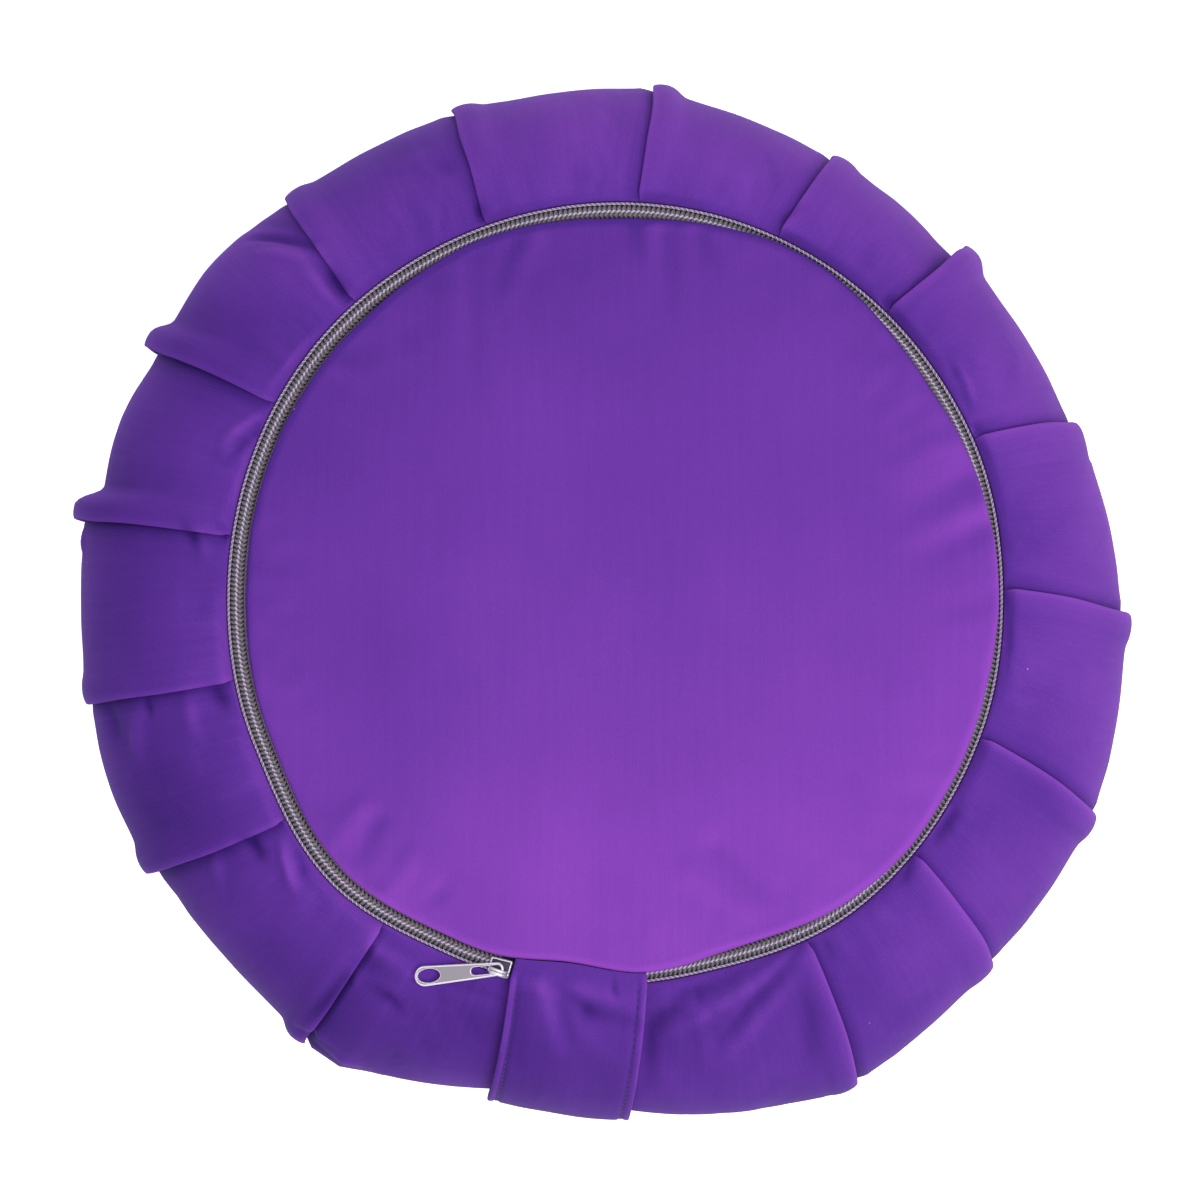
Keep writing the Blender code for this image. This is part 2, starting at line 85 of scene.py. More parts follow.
FACE_EDGE_HEIGHT = 0.1168
FACE_CROWN = 0.0079
CROWN_POWER = 2.4

Around = namedtuple("Around", "deg value")
ZIP_LINE_PULLS = [
    Around(0, -0.0011),
    Around(25, 0.0001),
    Around(75, 0.0012),
    Around(130, 0.0000),
    Around(178, -0.0017),
    Around(202, -0.0010),
    Around(226, 0.0029),
    Around(245, 0.0002),
    Around(283, -0.0024),
    Around(308, 0.0006),
    Around(340, -0.0003),
]
ZIP_IN_SIGHT = [
    Around(0, 0.0014),
    Around(35, 0.0042),
    Around(60, 0.0014),
    Around(89, 0.0050),
    Around(110, 0.0035),
    Around(135, 0.0055),
    Around(190, 0.0058),
    Around(250, 0.0053),
    Around(262, 0.0068),
    Around(276, 0.0030),
    Around(292, 0.0052),
    Around(323, 0.0022),
    Around(345, 0.0026),
]

# One row for each pleat: where its fold meets the zip and the bulge, how far out the flap lies before
# the fold, the fold itself and the flap after it, for how long that one keeps level, and its swell.
Pleat = namedtuple("Pleat", "seam_deg side_deg before peak after hold bow")
PLEATS = [
    Pleat(24.2, 20.6, 0.1587, 0.1593, 0.1562, 0.004, 0.0004),
    Pleat(46.6, 44.5, 0.1565, 0.1599, 0.1536, 0.004, 0.0008),
    Pleat(65.9, 62.9, 0.1563, 0.1580, 0.1563, 0.004, 0.0004),
    Pleat(86.7, 84.4, 0.1600, 0.1633, 0.1615, 0.004, 0.0008),
    Pleat(109.2, 107.2, 0.1605, 0.1623, 0.1604, 0.004, 0.0004),
    Pleat(131.5, 128.6, 0.1602, 0.1619, 0.1599, 0.004, 0.0008),
    Pleat(150.5, 151.0, 0.1610, 0.1655, 0.1599, 0.004, 0.0028),
    Pleat(171.0, 171.2, 0.1608, 0.1688, 0.1647, 0.004, 0.0024),
    Pleat(192.5, 191.2, 0.1643, 0.1656, 0.1637, 0.004, 0.0003),
    Pleat(214.2, 210.9, 0.1653, 0.1672, 0.1630, 0.004, 0.0014),
    Pleat(235.0, 235.7, 0.1646, 0.1681, 0.1678, 0.013, 0.0010),
    Pleat(264.5, 264.5, 0.1550, 0.1562, 0.1560, 0.004, 0.0008),
    Pleat(299.7, 297.7, 0.1699, 0.1716, 0.1699, 0.004, 0.0047),
    Pleat(319.9, 317.1, 0.1669, 0.1677, 0.1657, 0.004, 0.0004),
    Pleat(339.5, 336.6, 0.1669, 0.1688, 0.1667, 0.004, 0.0010),
    Pleat(361.6, 358.5, 0.1640, 0.1655, 0.1619, 0.004, 0.0009),
]

# Painted shade: how much lighter the velvet's colour is painted on each metre that the cloth stands out, and
# darker in a dip.
CREASE_SHADE = 170.0
SWELL_SHADE = 60.0
CREASE_STRENGTH = 1.3
CREASE_REACH = 0.075
CREASE_TAIL = 3.0

# Soft creases in the band, each from one place to another by angle and band row, with its half width
# and how far it stands up or dips. A long one bends at a place on its way.
Crease = namedtuple("Crease", "deg row to_deg to_row width rise bend", defaults=[None])
CREASES = [
    Crease(134.6, 65, 129.8, 29, 0.0016, -0.0013),
    Crease(133.8, 88, 129.3, 37, 0.0030, -0.0005),
    Crease(135.3, 50, 131.4, 26, 0.0022, 0.0007),
    Crease(131.5, 20, 131.8, 4, 0.0024, -0.0015),
    Crease(132.8, 29, 133.6, 7, 0.0030, 0.0005),
    Crease(148.6, 4, 138.5, 2, 0.0018, 0.0007),
    Crease(151.9, 2, 159.1, 14, 0.0022, 0.0010),
    Crease(153.8, 0, 160.3, 9, 0.0016, -0.0009),
    Crease(166.4, 1, 158.3, 0, 0.0018, 0.0006),
    Crease(170.2, 18, 172.9, 13, 0.0022, -0.0009),
    Crease(170.7, 12, 174.7, 8, 0.0022, 0.0006),
    Crease(172.0, 79, 174.9, 76, 0.0020, 0.0008),
    Crease(169.2, 5, 171.6, 1, 0.0018, -0.0007),
    Crease(191.3, 61, 196.2, 56, 0.0040, -0.0009),
    Crease(192.7, 42, 198.9, 47, 0.0030, 0.0009),
    Crease(192.0, 38, 194.3, 37, 0.0016, -0.0009),
    Crease(192.6, 19, 198.3, 20, 0.0026, 0.0008),
    Crease(192.2, 10, 196.3, 5, 0.0032, -0.0013),
    Crease(212.7, 18, 216.9, 16, 0.0026, -0.0013),
    Crease(212.5, 33, 216.1, 39, 0.0024, 0.0007),
    Crease(216.0, 5, 222.6, 12, 0.0020, 0.0012),
    Crease(218.3, 2, 222.2, 6, 0.0016, -0.0008),
    Crease(234.2, 8, 241.3, 12, 0.0022, 0.0012),
    Crease(236.0, 16, 242.8, 28, 0.0020, -0.0012),
    Crease(234.3, 20, 240.2, 31, 0.0020, 0.0007),
    Crease(234.9, 10, 234.5, 55, 0.0026, -0.0018),
    Crease(234.2, 60, 236.2, 70, 0.0032, -0.0012),
    Crease(236.2, 70, 238.6, 74, 0.0030, -0.0010),
    Crease(236.0, 56, 238.8, 63, 0.0030, 0.0011),
    Crease(238.8, 63, 242.0, 70, 0.0028, 0.0009),
    Crease(274.6, 21, 292.3, 1, 0.0032, -0.0010, (279.1, 9)),
    Crease(276.1, 24, 297.5, 1, 0.0026, 0.0009, (286.9, 10)),
    Crease(283.7, 28, 297.7, 1, 0.0018, -0.0011, (288.5, 16)),
    Crease(282.9, 37, 297.1, 6, 0.0028, 0.0006, (289.3, 20)),
    Crease(293.1, 49, 296.1, 14, 0.0034, -0.0007, (294.4, 31)),
    Crease(274.4, 50, 275.5, 13, 0.0034, -0.0009, (274.7, 28)),
    Crease(301.5, 0, 300.8, 12, 0.0020, -0.0005),
    Crease(322.3, 2, 328.8, 3, 0.0024, -0.0013),
    Crease(359.1, 0, 349.6, 2, 0.0018, -0.0006),
    Crease(317.8, 0, 315.0, 4, 0.0020, -0.0006),
    Crease(35.7, 7, 31.9, 5, 0.0016, -0.0004),
    Crease(31.9, 5, 27.6, 3, 0.0016, -0.0003),
    Crease(33.7, 10, 28.5, 7, 0.0015, 0.0006),
    Crease(66.5, 5, 64.5, 18, 0.0016, -0.0007),
    Crease(47.7, 0, 47.0, 8, 0.0016, -0.0007),
    Crease(25.7, 0, 24.4, 5, 0.0016, -0.0007),
    Crease(111.7, 37, 110.8, 26, 0.0030, -0.0005),
    Crease(109.6, 10, 109.4, 2, 0.0020, -0.0010),
]

# One step of a fold: how far behind the fold's edge it lies, on the bulge and where it is sewn flat, how
# far out, how many layers of cloth it is lifted, and its painted shade: a painted highlight along the
# roll's edge, and painted shadow in the slot under it and on the next flap beside the slot. A fold's
# point is where a step lands.
Turn = namedtuple("Turn", "back sewn_back level layers shade")
FoldPoint = namedtuple("FoldPoint", "deg level lift shade")


def ease(share):
    """0 to 1 with a soft start and end."""
    share = within(share)
    return share * share * (3.0 - 2.0 * share)


def blend(low, high, share):
    """The value at a share of the way between two."""
    return low + (high - low) * share


def within(value, low=0.0, high=1.0):
    """The value, kept between two others."""
    return min(max(value, low), high)


def out_and_up(deg):
    """The sine and cosine of an angle in degrees."""
    return math.sin(math.radians(deg)), math.cos(math.radians(deg))


def uneven(x, y, z):
    """Smooth noise from about -1 to 1."""
    return noise.noise(Vector((x, y, z)))


def around(table, deg):
    """The value at an angle, eased from row to row round a closed table."""
    for row, following in zip(table, table[1:] + table[:1]):
        span = (following.deg - row.deg) % 360.0
        ahead = (deg - row.deg) % 360.0
        if ahead <= span:
            return blend(row.value, following.value, ease(ahead / span))
    return table[0].value


def zip_edge(deg):
    """Radius of the zip's outer edge about the zip's centre."""
    return ZIP_RADIUS + around(ZIP_LINE_PULLS, deg)


def face_edge(deg):
    """Radius of the zip face's folded edge about the zip's centre."""
    return zip_edge(deg) - around(ZIP_IN_SIGHT, deg)


def polar(centre, deg, radius, height):
    """A point at an angle and a radius about a centre."""
    sine, cosine = out_and_up(deg)
    return Vector((centre[0] + radius * cosine, centre[1] + radius * sine, height))


def crown_height(share):
    """Height of the zip face's underside at a share of its radius."""
    return FACE_EDGE_HEIGHT + FACE_CROWN * (1.0 - share**CROWN_POWER)


def band_point(row_deg, deg, level, lift, off=0.0):
    """A point of the band, pushed off along its normal."""
    out, up = out_and_up(row_deg)
    zip_share = max(up, 0.0) ** 2
    bulge = level - SEAM_RADIUS
    radius = SEAM_RADIUS + zip_share * around(ZIP_LINE_PULLS, deg) + bulge * out
    height = MIDDLE_HEIGHT + HALF_HEIGHT * up
    length = math.hypot(HALF_HEIGHT * out, bulge * up)
    raised = lift * up * up + off
    radius += HALF_HEIGHT * out / length * raised
    height += bulge * up / length * raised
    centre = (ZIP_CENTRE[0] * zip_share, ZIP_CENTRE[1] * zip_share)
    return polar(centre, deg, radius, height)


def fold_points(pleat, index, row_deg):
    """The points that take one flap's end over its roll, under it into the slot and out again."""
    out = out_and_up(row_deg)[0]
    wander = uneven(index * 7.3, row_deg / 26.0, 0.5) * 0.35 * out
    edge = pleat.side_deg + (pleat.seam_deg - pleat.side_deg) * (1.0 - out) + wander
    radius = SEAM_RADIUS + (pleat.peak - SEAM_RADIUS) * out
    sewn_flat = SEWN_FLAT_UNDER_STRAP_DEG if index == PLEAT_UNDER_STRAP else SEWN_FLAT_DEG
    free = ease(min(row_deg, 180.0 - row_deg) / sewn_flat)
    rise = pleat.peak - pleat.before
    under = pleat.peak - LIP
    mouth = min(pleat.after, under - SLOT)
    slot = min(pleat.before, mouth) - LIP
    turns = [
        Turn(0.0120, 0.0052, pleat.before, 0.80, 0.00),
        Turn(0.0106, 0.0047, pleat.before + 0.10 * rise, 0.84, 0.00),
        Turn(0.0092, 0.0042, pleat.before + 0.35 * rise, 0.90, 0.00),
        Turn(0.0078, 0.0036, pleat.before + 0.66 * rise, 0.98, 0.01),
        Turn(0.0064, 0.0030, pleat.before + 0.88 * rise, 1.08, 0.02),
        Turn(0.0050, 0.0025, pleat.peak, 1.17, 0.03),
        Turn(0.0035, 0.0021, pleat.peak + 0.06 * LIP, 1.20, 0.05),
        Turn(0.0021, 0.0017, pleat.peak, 1.16, 0.10),
        Turn(0.0011, 0.0014, pleat.peak - 0.12 * LIP, 1.08, 0.20),
        Turn(0.0004, 0.0011, pleat.peak - 0.28 * LIP, 0.98, 0.28),
        Turn(0.0001, 0.0009, pleat.peak - 0.50 * LIP, 0.85, 0.20),
        Turn(0.0003, 0.0007, pleat.peak - 0.74 * LIP, 0.68, 0.00),
        Turn(0.0008, 0.0006, pleat.peak - 0.92 * LIP, 0.55, -0.15),
        Turn(0.0016, 0.0005, under, 0.45, -0.30),
        Turn(0.0036, 0.0004, blend(under, slot, 0.36), 0.15, -0.35),
        Turn(0.0060, 0.0003, blend(under, slot, 0.86), -0.20, -0.35),
        Turn(0.0069, 0.0002, slot, -0.30, -0.35),
        Turn(0.0073, 0.0001, slot - SLOT / 2, -0.55, -0.35),
        Turn(0.0069, 0.0000, slot - SLOT, -0.80, -0.35),
        Turn(0.0048, -0.0001, blend(slot - SLOT, mouth, 0.38), -0.52, -0.35),
        Turn(0.0024, -0.0003, blend(slot - SLOT, mouth, 0.76), -0.22, -0.35),
        Turn(0.0003, -0.0006, mouth, 0.00, -0.32),
        Turn(-0.0011, -0.0013, blend(mouth, pleat.after, 0.40), 0.02, -0.20),
        Turn(-0.0025, -0.0022, blend(mouth, pleat.after, 0.78), 0.04, -0.10),
        Turn(-pleat.hold, -0.0032, pleat.after, 0.05, -0.04),
    ]
    points = []
    for turn in turns:
        back = blend(turn.sewn_back, turn.back, free)
        deg = edge - math.degrees(back / radius)
        lift = turn.layers * CLOTH_LAYER * free
        points.append(FoldPoint(deg=deg, level=turn.level, lift=lift, shade=turn.shade))
    return points


def flap_place(start, end, bow, share):
    """A place on one flap: a straight pull from fold to fold, with its swell."""
    whole = math.radians(end.deg - start.deg)
    product = start.level * end.level * math.sin(whole)
    chord = product / (start.level * math.sin(whole * share) + end.level * math.sin(whole * (1.0 - share)))
    level = chord + bow * math.sin(math.pi * share)
    lift = blend(start.lift, end.lift, share)
    return FoldPoint(deg=blend(start.deg, end.deg, share), level=level, lift=lift, shade=0.0)


def flaps_of_row(row_deg):
    """For each pleat: the points of its fold, the first point of the next fold, and the flap's swell."""
    turned = [fold_points(pleat, index, row_deg) for index, pleat in enumerate(PLEATS)]
    flaps = []
    for index, folds in enumerate(turned):
        following = (index + 1) % len(turned)
        end = turned[following][0]
        if end.deg < folds[-1].deg:
            end = end._replace(deg=end.deg + 360.0)
        flaps.append((folds, end, PLEATS[following].bow))
    return flaps


def band_row(row_deg):
    """One closed row of the band, anticlockwise, each point with the flap and the share it lies at."""
    row = []
    for index, (folds, end, bow) in enumerate(flaps_of_row(row_deg)):
        row += [(fold, index, 0.0) for fold in folds]
        span = (PLEATS[(index + 1) % len(PLEATS)].side_deg - PLEATS[index].side_deg) % 360.0
        steps = round(span * FLAP_STEPS_A_DEG)
        for step in range(1, steps + 1):
            share = step / (steps + 1)
            row.append((flap_place(folds[-1], end, bow, share), index, share))
    return row


def grid_place(vert, columns, rows):
    """The column and the row of a point of a new grid."""
    return round((vert.co.x + 1.0) / 2.0 * columns), round((vert.co.y + 1.0) / 2.0 * rows)


def lay_out_flaps():
    """Every flap as its own coarse grid of cloth, with the flap, column and row of each point."""
    shape = bmesh.new()
    places = []
    row_degs = [blend(FIRST_ROW_DEG, LAST_SETTLED_DEG, row / SETTLE_DOWN) for row in range(SETTLE_DOWN + 1)]
    ends = [flaps_of_row(row_deg) for row_deg in row_degs]
    for index in range(len(PLEATS)):
        grid = bmesh.ops.create_grid(shape, x_segments=SETTLE_ACROSS, y_segments=SETTLE_DOWN, size=1.0)
        for vert in grid["verts"]:
            column, row = grid_place(vert, SETTLE_ACROSS, SETTLE_DOWN)
            folds, end, bow = ends[row][index]
            place = flap_place(folds[-1], end, bow, column / SETTLE_ACROSS)
            vert.co = band_point(row_degs[row], place.deg, place.level, place.lift)
            places.append((index, column, row))
    shape.normal_update()
    if sum(face.normal.z for face in shape.faces if face.calc_center_median().z > MIDDLE_HEIGHT) < 0.0:
        bmesh.ops.reverse_faces(shape, faces=shape.faces)
    return mesh_object(shape, "flaps_to_settle"), places


def settle_flaps():
    """Lets the filling push each flap out by cloth simulation, and gives how far each point moved."""
    moved = {}
    cloth, places = lay_out_flaps()
    sewn = cloth.vertex_groups.new(name="sewn")
    border = [
        number
        for number, (_, column, row) in enumerate(places)
        if column in (0, SETTLE_ACROSS) or row in (0, SETTLE_DOWN)
    ]
    sewn.add(border, 1.0, "REPLACE")
    filling = cloth.modifiers.new("filling", "CLOTH")
    for name, value in (
        ("quality", 6),
        ("vertex_group_mass", "sewn"),
        ("use_pressure", True),
        ("uniform_pressure_force", FILLING_PRESSURE),
        ("shrink_min", -CLOTH_SLACK),
        ("tension_stiffness", 40.0),
        ("compression_stiffness", 40.0),
        ("bending_stiffness", 0.3),
    ):
        setattr(filling.settings, name, value)
    filling.settings.effector_weights.gravity = 0.0
    filling.point_cache.frame_end = SETTLE_FRAMES
    for frame_number in range(1, SETTLE_FRAMES + 1):
        bpy.context.scene.frame_set(frame_number)
    settled = cloth.evaluated_get(bpy.context.evaluated_depsgraph_get()).data
    for place, before, after in zip(places, cloth.data.vertices, settled.vertices):
        out = (after.co - before.co).dot(before.normal) * SETTLE_SHARE
        moved[place] = within(out, -SETTLE_CAP, SETTLE_CAP)
    bpy.data.objects.remove(cloth, do_unlink=True)
    bpy.context.scene.frame_set(1)
    return moved


def settled_off(moved, index, share, row_deg):
    """How far the filling pushed a place on a flap, eased between the coarse grid's points."""
    if not moved or share == 0.0:
        return 0.0
    down = within((row_deg - FIRST_ROW_DEG) / (LAST_SETTLED_DEG - FIRST_ROW_DEG)) * SETTLE_DOWN
    over = share * SETTLE_ACROSS
    row, column = min(int(down), SETTLE_DOWN - 1), min(int(over), SETTLE_ACROSS - 1)
    near, far = [
        blend(moved[(index, column, line)], moved[(index, column + 1, line)], ease(over - column))
        for line in (row, row + 1)
    ]
    soft_ends = ease(share / 0.30) * ease((1.0 - share) / 0.40)
    return blend(near, far, ease(down - row)) * soft_ends


def wrinkle(deg, row_deg):
    """How far the band's cloth stands off its plain shape: puckers at the seams and slack in the flaps."""
    along = math.radians(deg) * CLOTH_RADIUS
    down = row_deg * CLOTH_A_ROW_DEG
    from_seam = min(row_deg, 180.0 - row_deg)
    near = from_seam / 8.0
    pucker = near * math.exp(1.0 - near)
    gather = uneven(along / 0.0055, down / 0.030, 3.1)
    slack = uneven(along / 0.021, down / 0.055, 8.7)
    settle = uneven(along / 0.055, down / 0.040, 1.9)
    dent = uneven(along / 0.010, down / 0.017, 5.3)
    free = ease(from_seam / 25.0)
    off = 0.00030 * pucker * gather + free * (0.00010 * dent + 0.00025 * slack + 0.0006 * settle)
    for crease in CREASES:
        off += crease_off(crease, deg, row_deg)
    return off


def beside(place, start, end):
    """How far a place lies from a straight run, and the share of the run that is nearest to it."""
    run = end - start
    share = within((place - start).dot(run) / run.length_squared)
    return (place - start - run * share).length, share


def on_cloth(deg, row):
    """A step over the band's cloth, in metres round it and down it, from one in degrees and rows."""
    return Vector((math.radians((deg + 180.0) % 360.0 - 180.0) * CLOTH_RADIUS, row * CLOTH_A_ROW_DEG))


def crease_off(crease, deg, row_deg):
    """One crease's share of the wrinkle at a place on the band."""
    place = on_cloth(deg - crease.deg, row_deg - crease.row)
    if place.length > CREASE_REACH:
        return 0.0
    end = on_cloth(crease.to_deg - crease.deg, crease.to_row - crease.row)
    middle = end / 2.0
    if crease.bend:
        middle = on_cloth(crease.bend[0] - crease.deg, crease.bend[1] - crease.row)
    nearest = []
    for half, (first, last) in enumerate(((Vector((0.0, 0.0)), middle), (middle, end))):
        aside, share = beside(place, first, last)
        nearest.append((aside, (half + share) / 2.0))
    aside, share = min(nearest)
    aside /= crease.width
    if aside > CREASE_TAIL:
        return 0.0
    end_fade = 1.0 - 0.75 * abs(2.0 * share - 1.0) ** 2
    return crease.rise * CREASE_STRENGTH * math.exp(-aside * aside) * end_fade


def turn_degs(count):
    """The angles of a number of even steps round a full turn."""
    return [360.0 * step / count for step in range(count)]


def skin(name, rows, across, along, shades=None):
    """A closed skin from rows of points, each row a full turn or one point at a pole.

    across and along are the cloth's own lengths round a row and from row to row, for its weave.
    """
    count = max(len(row) for row in rows)
    shape = bmesh.new()
    bmesh.ops.create_grid(shape, x_segments=count, y_segments=len(rows) - 1, size=1.0)
    cloth = shape.loops.layers.uv.new("cloth")
    # The pile attribute carries the painted light and shade of each point, when shades are given.
    pile = shape.verts.layers.float.new("pile")
    for vert in shape.verts:
        column, row = grid_place(vert, count, len(rows) - 1)
        for loop in vert.link_loops:
            loop[cloth].uv = (across[column], along[row])
        vert.co = rows[row][column % len(rows[row])]
        if shades:
            vert[pile] = shades[row][column % len(shades[row])]
    bmesh.ops.remove_doubles(shape, verts=shape.verts, dist=0.000001)
    bmesh.ops.recalc_face_normals(shape, faces=shape.faces)
    return mesh_object(shape, name)


def lengths_along(points):
    """How far along a run of points each of them lies."""
    lengths = [0.0]
    for first, second in zip(points, points[1:]):
        lengths.append(lengths[-1] + (second - first).length)
    return lengths


def mesh_object(shape, name, crisp_deg=60.0):
    """A named smooth object from a bmesh."""
    mesh = bpy.data.meshes.new(name)
    shape.to_mesh(mesh)
    shape.free()
    mesh.shade_smooth()
    mesh.set_sharp_from_angle(angle=math.radians(crisp_deg))
    made = bpy.data.objects.new(name, mesh)
    bpy.context.scene.collection.objects.link(made)
    return made


def plug(node, links=None, values=None):
    """Sets a node's sockets, given by name or number, to other nodes' outputs and to values."""
    for key, value in (values or {}).items():
        node.inputs[key].default_value = value
    for key, source in (links or {}).items():
        node.id_data.links.new(source, node.inputs[key])
    return node


def new_material(name):
    """A new material, a short way to add nodes to it, and its shader."""
    material = bpy.data.materials.new(name)
    material.use_nodes = True
    nodes = material.node_tree.nodes

    def add(kind, links=None, values=None, **settings):
        node = nodes.new("ShaderNode" + kind)
        for key, value in settings.items():
            setattr(node, key, value)
        return plug(node, links, values)

    return material, add, nodes["Principled BSDF"]


STREAKING = 0.12
PILE_GRAIN = 0.30
RIB_SHADE = 0.012
LINT_SIZE = 0.022
LINT_RARITY = 0.90


def velvet(name, painted_light_dir, colours, clouding=0.55, rib_width=0.0011):
    """Short pile velvet: ribs and pile as fine bumps, random clouds, streaks and grain in its tone, and
    painted light and shade.

    The second argument is the direction towards which the colour is painted lighter as the surface turns
    to face it, and colours are its dark, middle and light shades. Each skin's pile attribute adds the
    painted shade of its creases and folds.
    """
    material, add, shader = new_material(name)
    place = add("TexCoord")
    spot = place.outputs["Object"]
    weave = add("UVMap", uv_map="cloth").outputs["UV"]
    apart = add("SeparateXYZ", {0: weave}).outputs
    pitch = add("Math", {0: apart["X"]}, {1: 2.0 * math.pi / rib_width}, operation="MULTIPLY")
    ribs = add("Math", {0: pitch.outputs[0]}, operation="SINE").outputs[0]
    pile = add("TexNoise", {"Vector": spot}, {"Scale": 2300.0, "Detail": 2.0})
    long_grain = add("Mapping", {"Vector": weave}, {"Scale": (520.0, 26.0, 1.0)})
    streaks = add("TexNoise", {"Vector": long_grain.outputs[0]}, {"Scale": 1.0, "Detail": 3.0})
    clouds = add("TexNoise", {"Vector": spot}, {"Scale": 17.0, "Detail": 4.0})
    # Painted light: the colour is painted lighter where the surface faces the given direction and darker
    # where it faces away.
    slant = add("VectorMath", {0: place.outputs["Normal"]}, {1: painted_light_dir}, operation="DOT_PRODUCT")
    # Painted shade carried by each skin: lighter where its cloth stands out, darker in creases, dips and
    # slots.
    painted_crease_shade = add("Attribute", attribute_name="pile").outputs["Fac"]
    shade = slant.outputs["Value"]
    for source, weight in (
        (painted_crease_shade, 1.0),
        (clouds.outputs["Fac"], clouding),
        (streaks.outputs["Fac"], STREAKING),
        (pile.outputs["Fac"], PILE_GRAIN),
        (ribs, RIB_SHADE),
    ):
        part = add("Math", {0: source, 2: shade}, {1: weight}, operation="MULTIPLY_ADD")
        shade = part.outputs[0]
    level = 0.5 - (clouding + STREAKING + PILE_GRAIN) / 2.0
    centred = add("Math", {0: shade}, {1: level}, operation="ADD")
    ramp = add("ValToRGB", {"Fac": centred.outputs[0]})
    stops = ramp.color_ramp.elements
    stops[0].color = (*colours[0], 1.0)
    stops[1].color = (*colours[2], 1.0)
    stops.new(0.5).color = (*colours[1], 1.0)
    lint_cells = add("TexVoronoi", {"Vector": spot}, {"Scale": 85.0}, feature="F1")
    lint_near = add("Math", {0: lint_cells.outputs["Distance"]}, {1: LINT_SIZE}, operation="LESS_THAN")
    lint_kind = add("SeparateColor", {0: lint_cells.outputs["Color"]}).outputs["Red"]
    lint_rare = add("Math", {0: lint_kind}, {1: LINT_RARITY}, operation="GREATER_THAN").outputs[0]
    lint = add("Math", {0: lint_near.outputs[0], 1: lint_rare}, operation="MULTIPLY")
    lint_share = add("Math", {0: lint.outputs[0]}, {1: 0.45}, operation="MULTIPLY").outputs[0]
    lint_on_pile = {"Factor": lint_share, "A": ramp.outputs["Color"]}
    dusted = add("Mix", lint_on_pile, {"B": (0.62, 0.50, 0.72, 1.0)}, data_type="RGBA")
    fuzz = add("Math", {0: ribs, 2: pile.outputs["Fac"]}, {1: 0.06}, operation="MULTIPLY_ADD")
    bump = add("Bump", {"Height": fuzz.outputs[0]}, {"Strength": 0.35, "Distance": 0.00025})
    sheen = {"Sheen Weight": 0.06, "Sheen Roughness": 0.35, "Sheen Tint": (0.80, 0.62, 0.95, 1.0)}
    finish = {"Roughness": 0.92, "Specular IOR Level": 0.05, **sheen}
    plug(shader, {"Base Color": dusted.outputs["Result"], "Normal": bump.outputs[0]}, finish)
    return material


# The band's own bottom, over the seat face: each ring's radius and height, in to the middle.
BASE_HEIGHT = 0.0026
BASE_RINGS = ((0.1198, 0.0092), (0.1141, 0.0072), (0.1065, 0.0040), (0.0940, BASE_HEIGHT))


def make_side_band():
    """The band and the crown of filling under the zip face, as one closed skin."""
    moved = settle_flaps()
    seam = [point for point, index, share in band_row(0.0)]
    rows = [[polar(ZIP_CENTRE, 0.0, 0.0, crown_height(0.0) - SKIN_GAP)]]
    for share in (0.35, 0.65, 0.85, 0.94):
        height = crown_height(share) - SKIN_GAP
        rows.append([polar(ZIP_CENTRE, point.deg, face_edge(point.deg) * share, height) for point in seam])
    zip_bed = ((-ZIP_BED_WIDTH - SKIN_GAP, None), (-ZIP_BED_WIDTH, ZIP_FLOOR), (SKIN_GAP, ZIP_FLOOR))
    for out, height in zip_bed:
        row = []
        for point in seam:
            radius = zip_edge(point.deg) + out
            level = crown_height(radius / face_edge(point.deg)) - SKIN_GAP
            row.append(polar(ZIP_CENTRE, point.deg, radius, height or level))
        rows.append(row)
    for turn_deg in (0.0, 30.0, 60.0):
        sine, cosine = out_and_up(turn_deg)
        out = SKIN_GAP + SEAM_EDGE * (1.0 - cosine)
        height = ZIP_SEAM_HEIGHT - SEAM_EDGE * (1.0 - sine)
        rows.append([polar(ZIP_CENTRE, point.deg, zip_edge(point.deg) + out, height) for point in seam])
    first_band_row = len(rows)
    shades = [[0.0]] * first_band_row
    row_degs = [blend(FIRST_ROW_DEG, WIDEST_ROW_DEG, step / TOP_STEPS) for step in range(TOP_STEPS)]
    row_degs += [blend(WIDEST_ROW_DEG, 180.0, step / UNDER_STEPS) for step in range(UNDER_STEPS + 1)]
    for row_deg in row_degs:
        row, shade = [], []
        for point, index, share in band_row(row_deg):
            creased = wrinkle(point.deg, row_deg)
            settled = settled_off(moved, index, share, row_deg)
            row.append(band_point(row_deg, point.deg, point.level, point.lift, creased + settled))
            # Painted shade: the fold's own painted highlight and shadow, lighter where creases and the
            # filling's swell push the cloth out, darker in the dips.
            shade.append(point.shade + creased * CREASE_SHADE + settled * SWELL_SHADE)
        rows.append(row)
        shades.append(shade)
    base = [point for point, index, share in band_row(180.0)]
    for radius, height in BASE_RINGS:
        rows.append([polar((0.0, 0.0), point.deg, radius, height) for point in base])
    rows.append([Vector((0.0, 0.0, BASE_HEIGHT))])
    shades += [[0.0]] * (len(BASE_RINGS) + 1)
    widest = rows[first_band_row + TOP_STEPS]
    across = lengths_along(widest + widest[:1])
    along = lengths_along([row[0] for row in rows])
    return skin("pleated_band", rows, across, along, shades)


BAND_SHADES = ((0.034, 0.010, 0.140), (0.100, 0.028, 0.285), (0.215, 0.056, 0.440))
band = make_side_band()
# Painted light: the band is painted lighter where it faces +X and a little +Y, darker where it faces away.
band.data.materials.append(velvet("band_velvet", (0.30, 0.16, 0.0), BAND_SHADES))
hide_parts("side_band")
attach(band, "root")


# The seat face. A round of the same velvet on the other side, sewn to the band all round, and pressed
# flat by the cushion's weight where it lies on the floor.

SEAT_RADIUS = 0.1195
SEAT_FLAT_RADIUS = 0.094
SEAT_THICKNESS = 0.0020


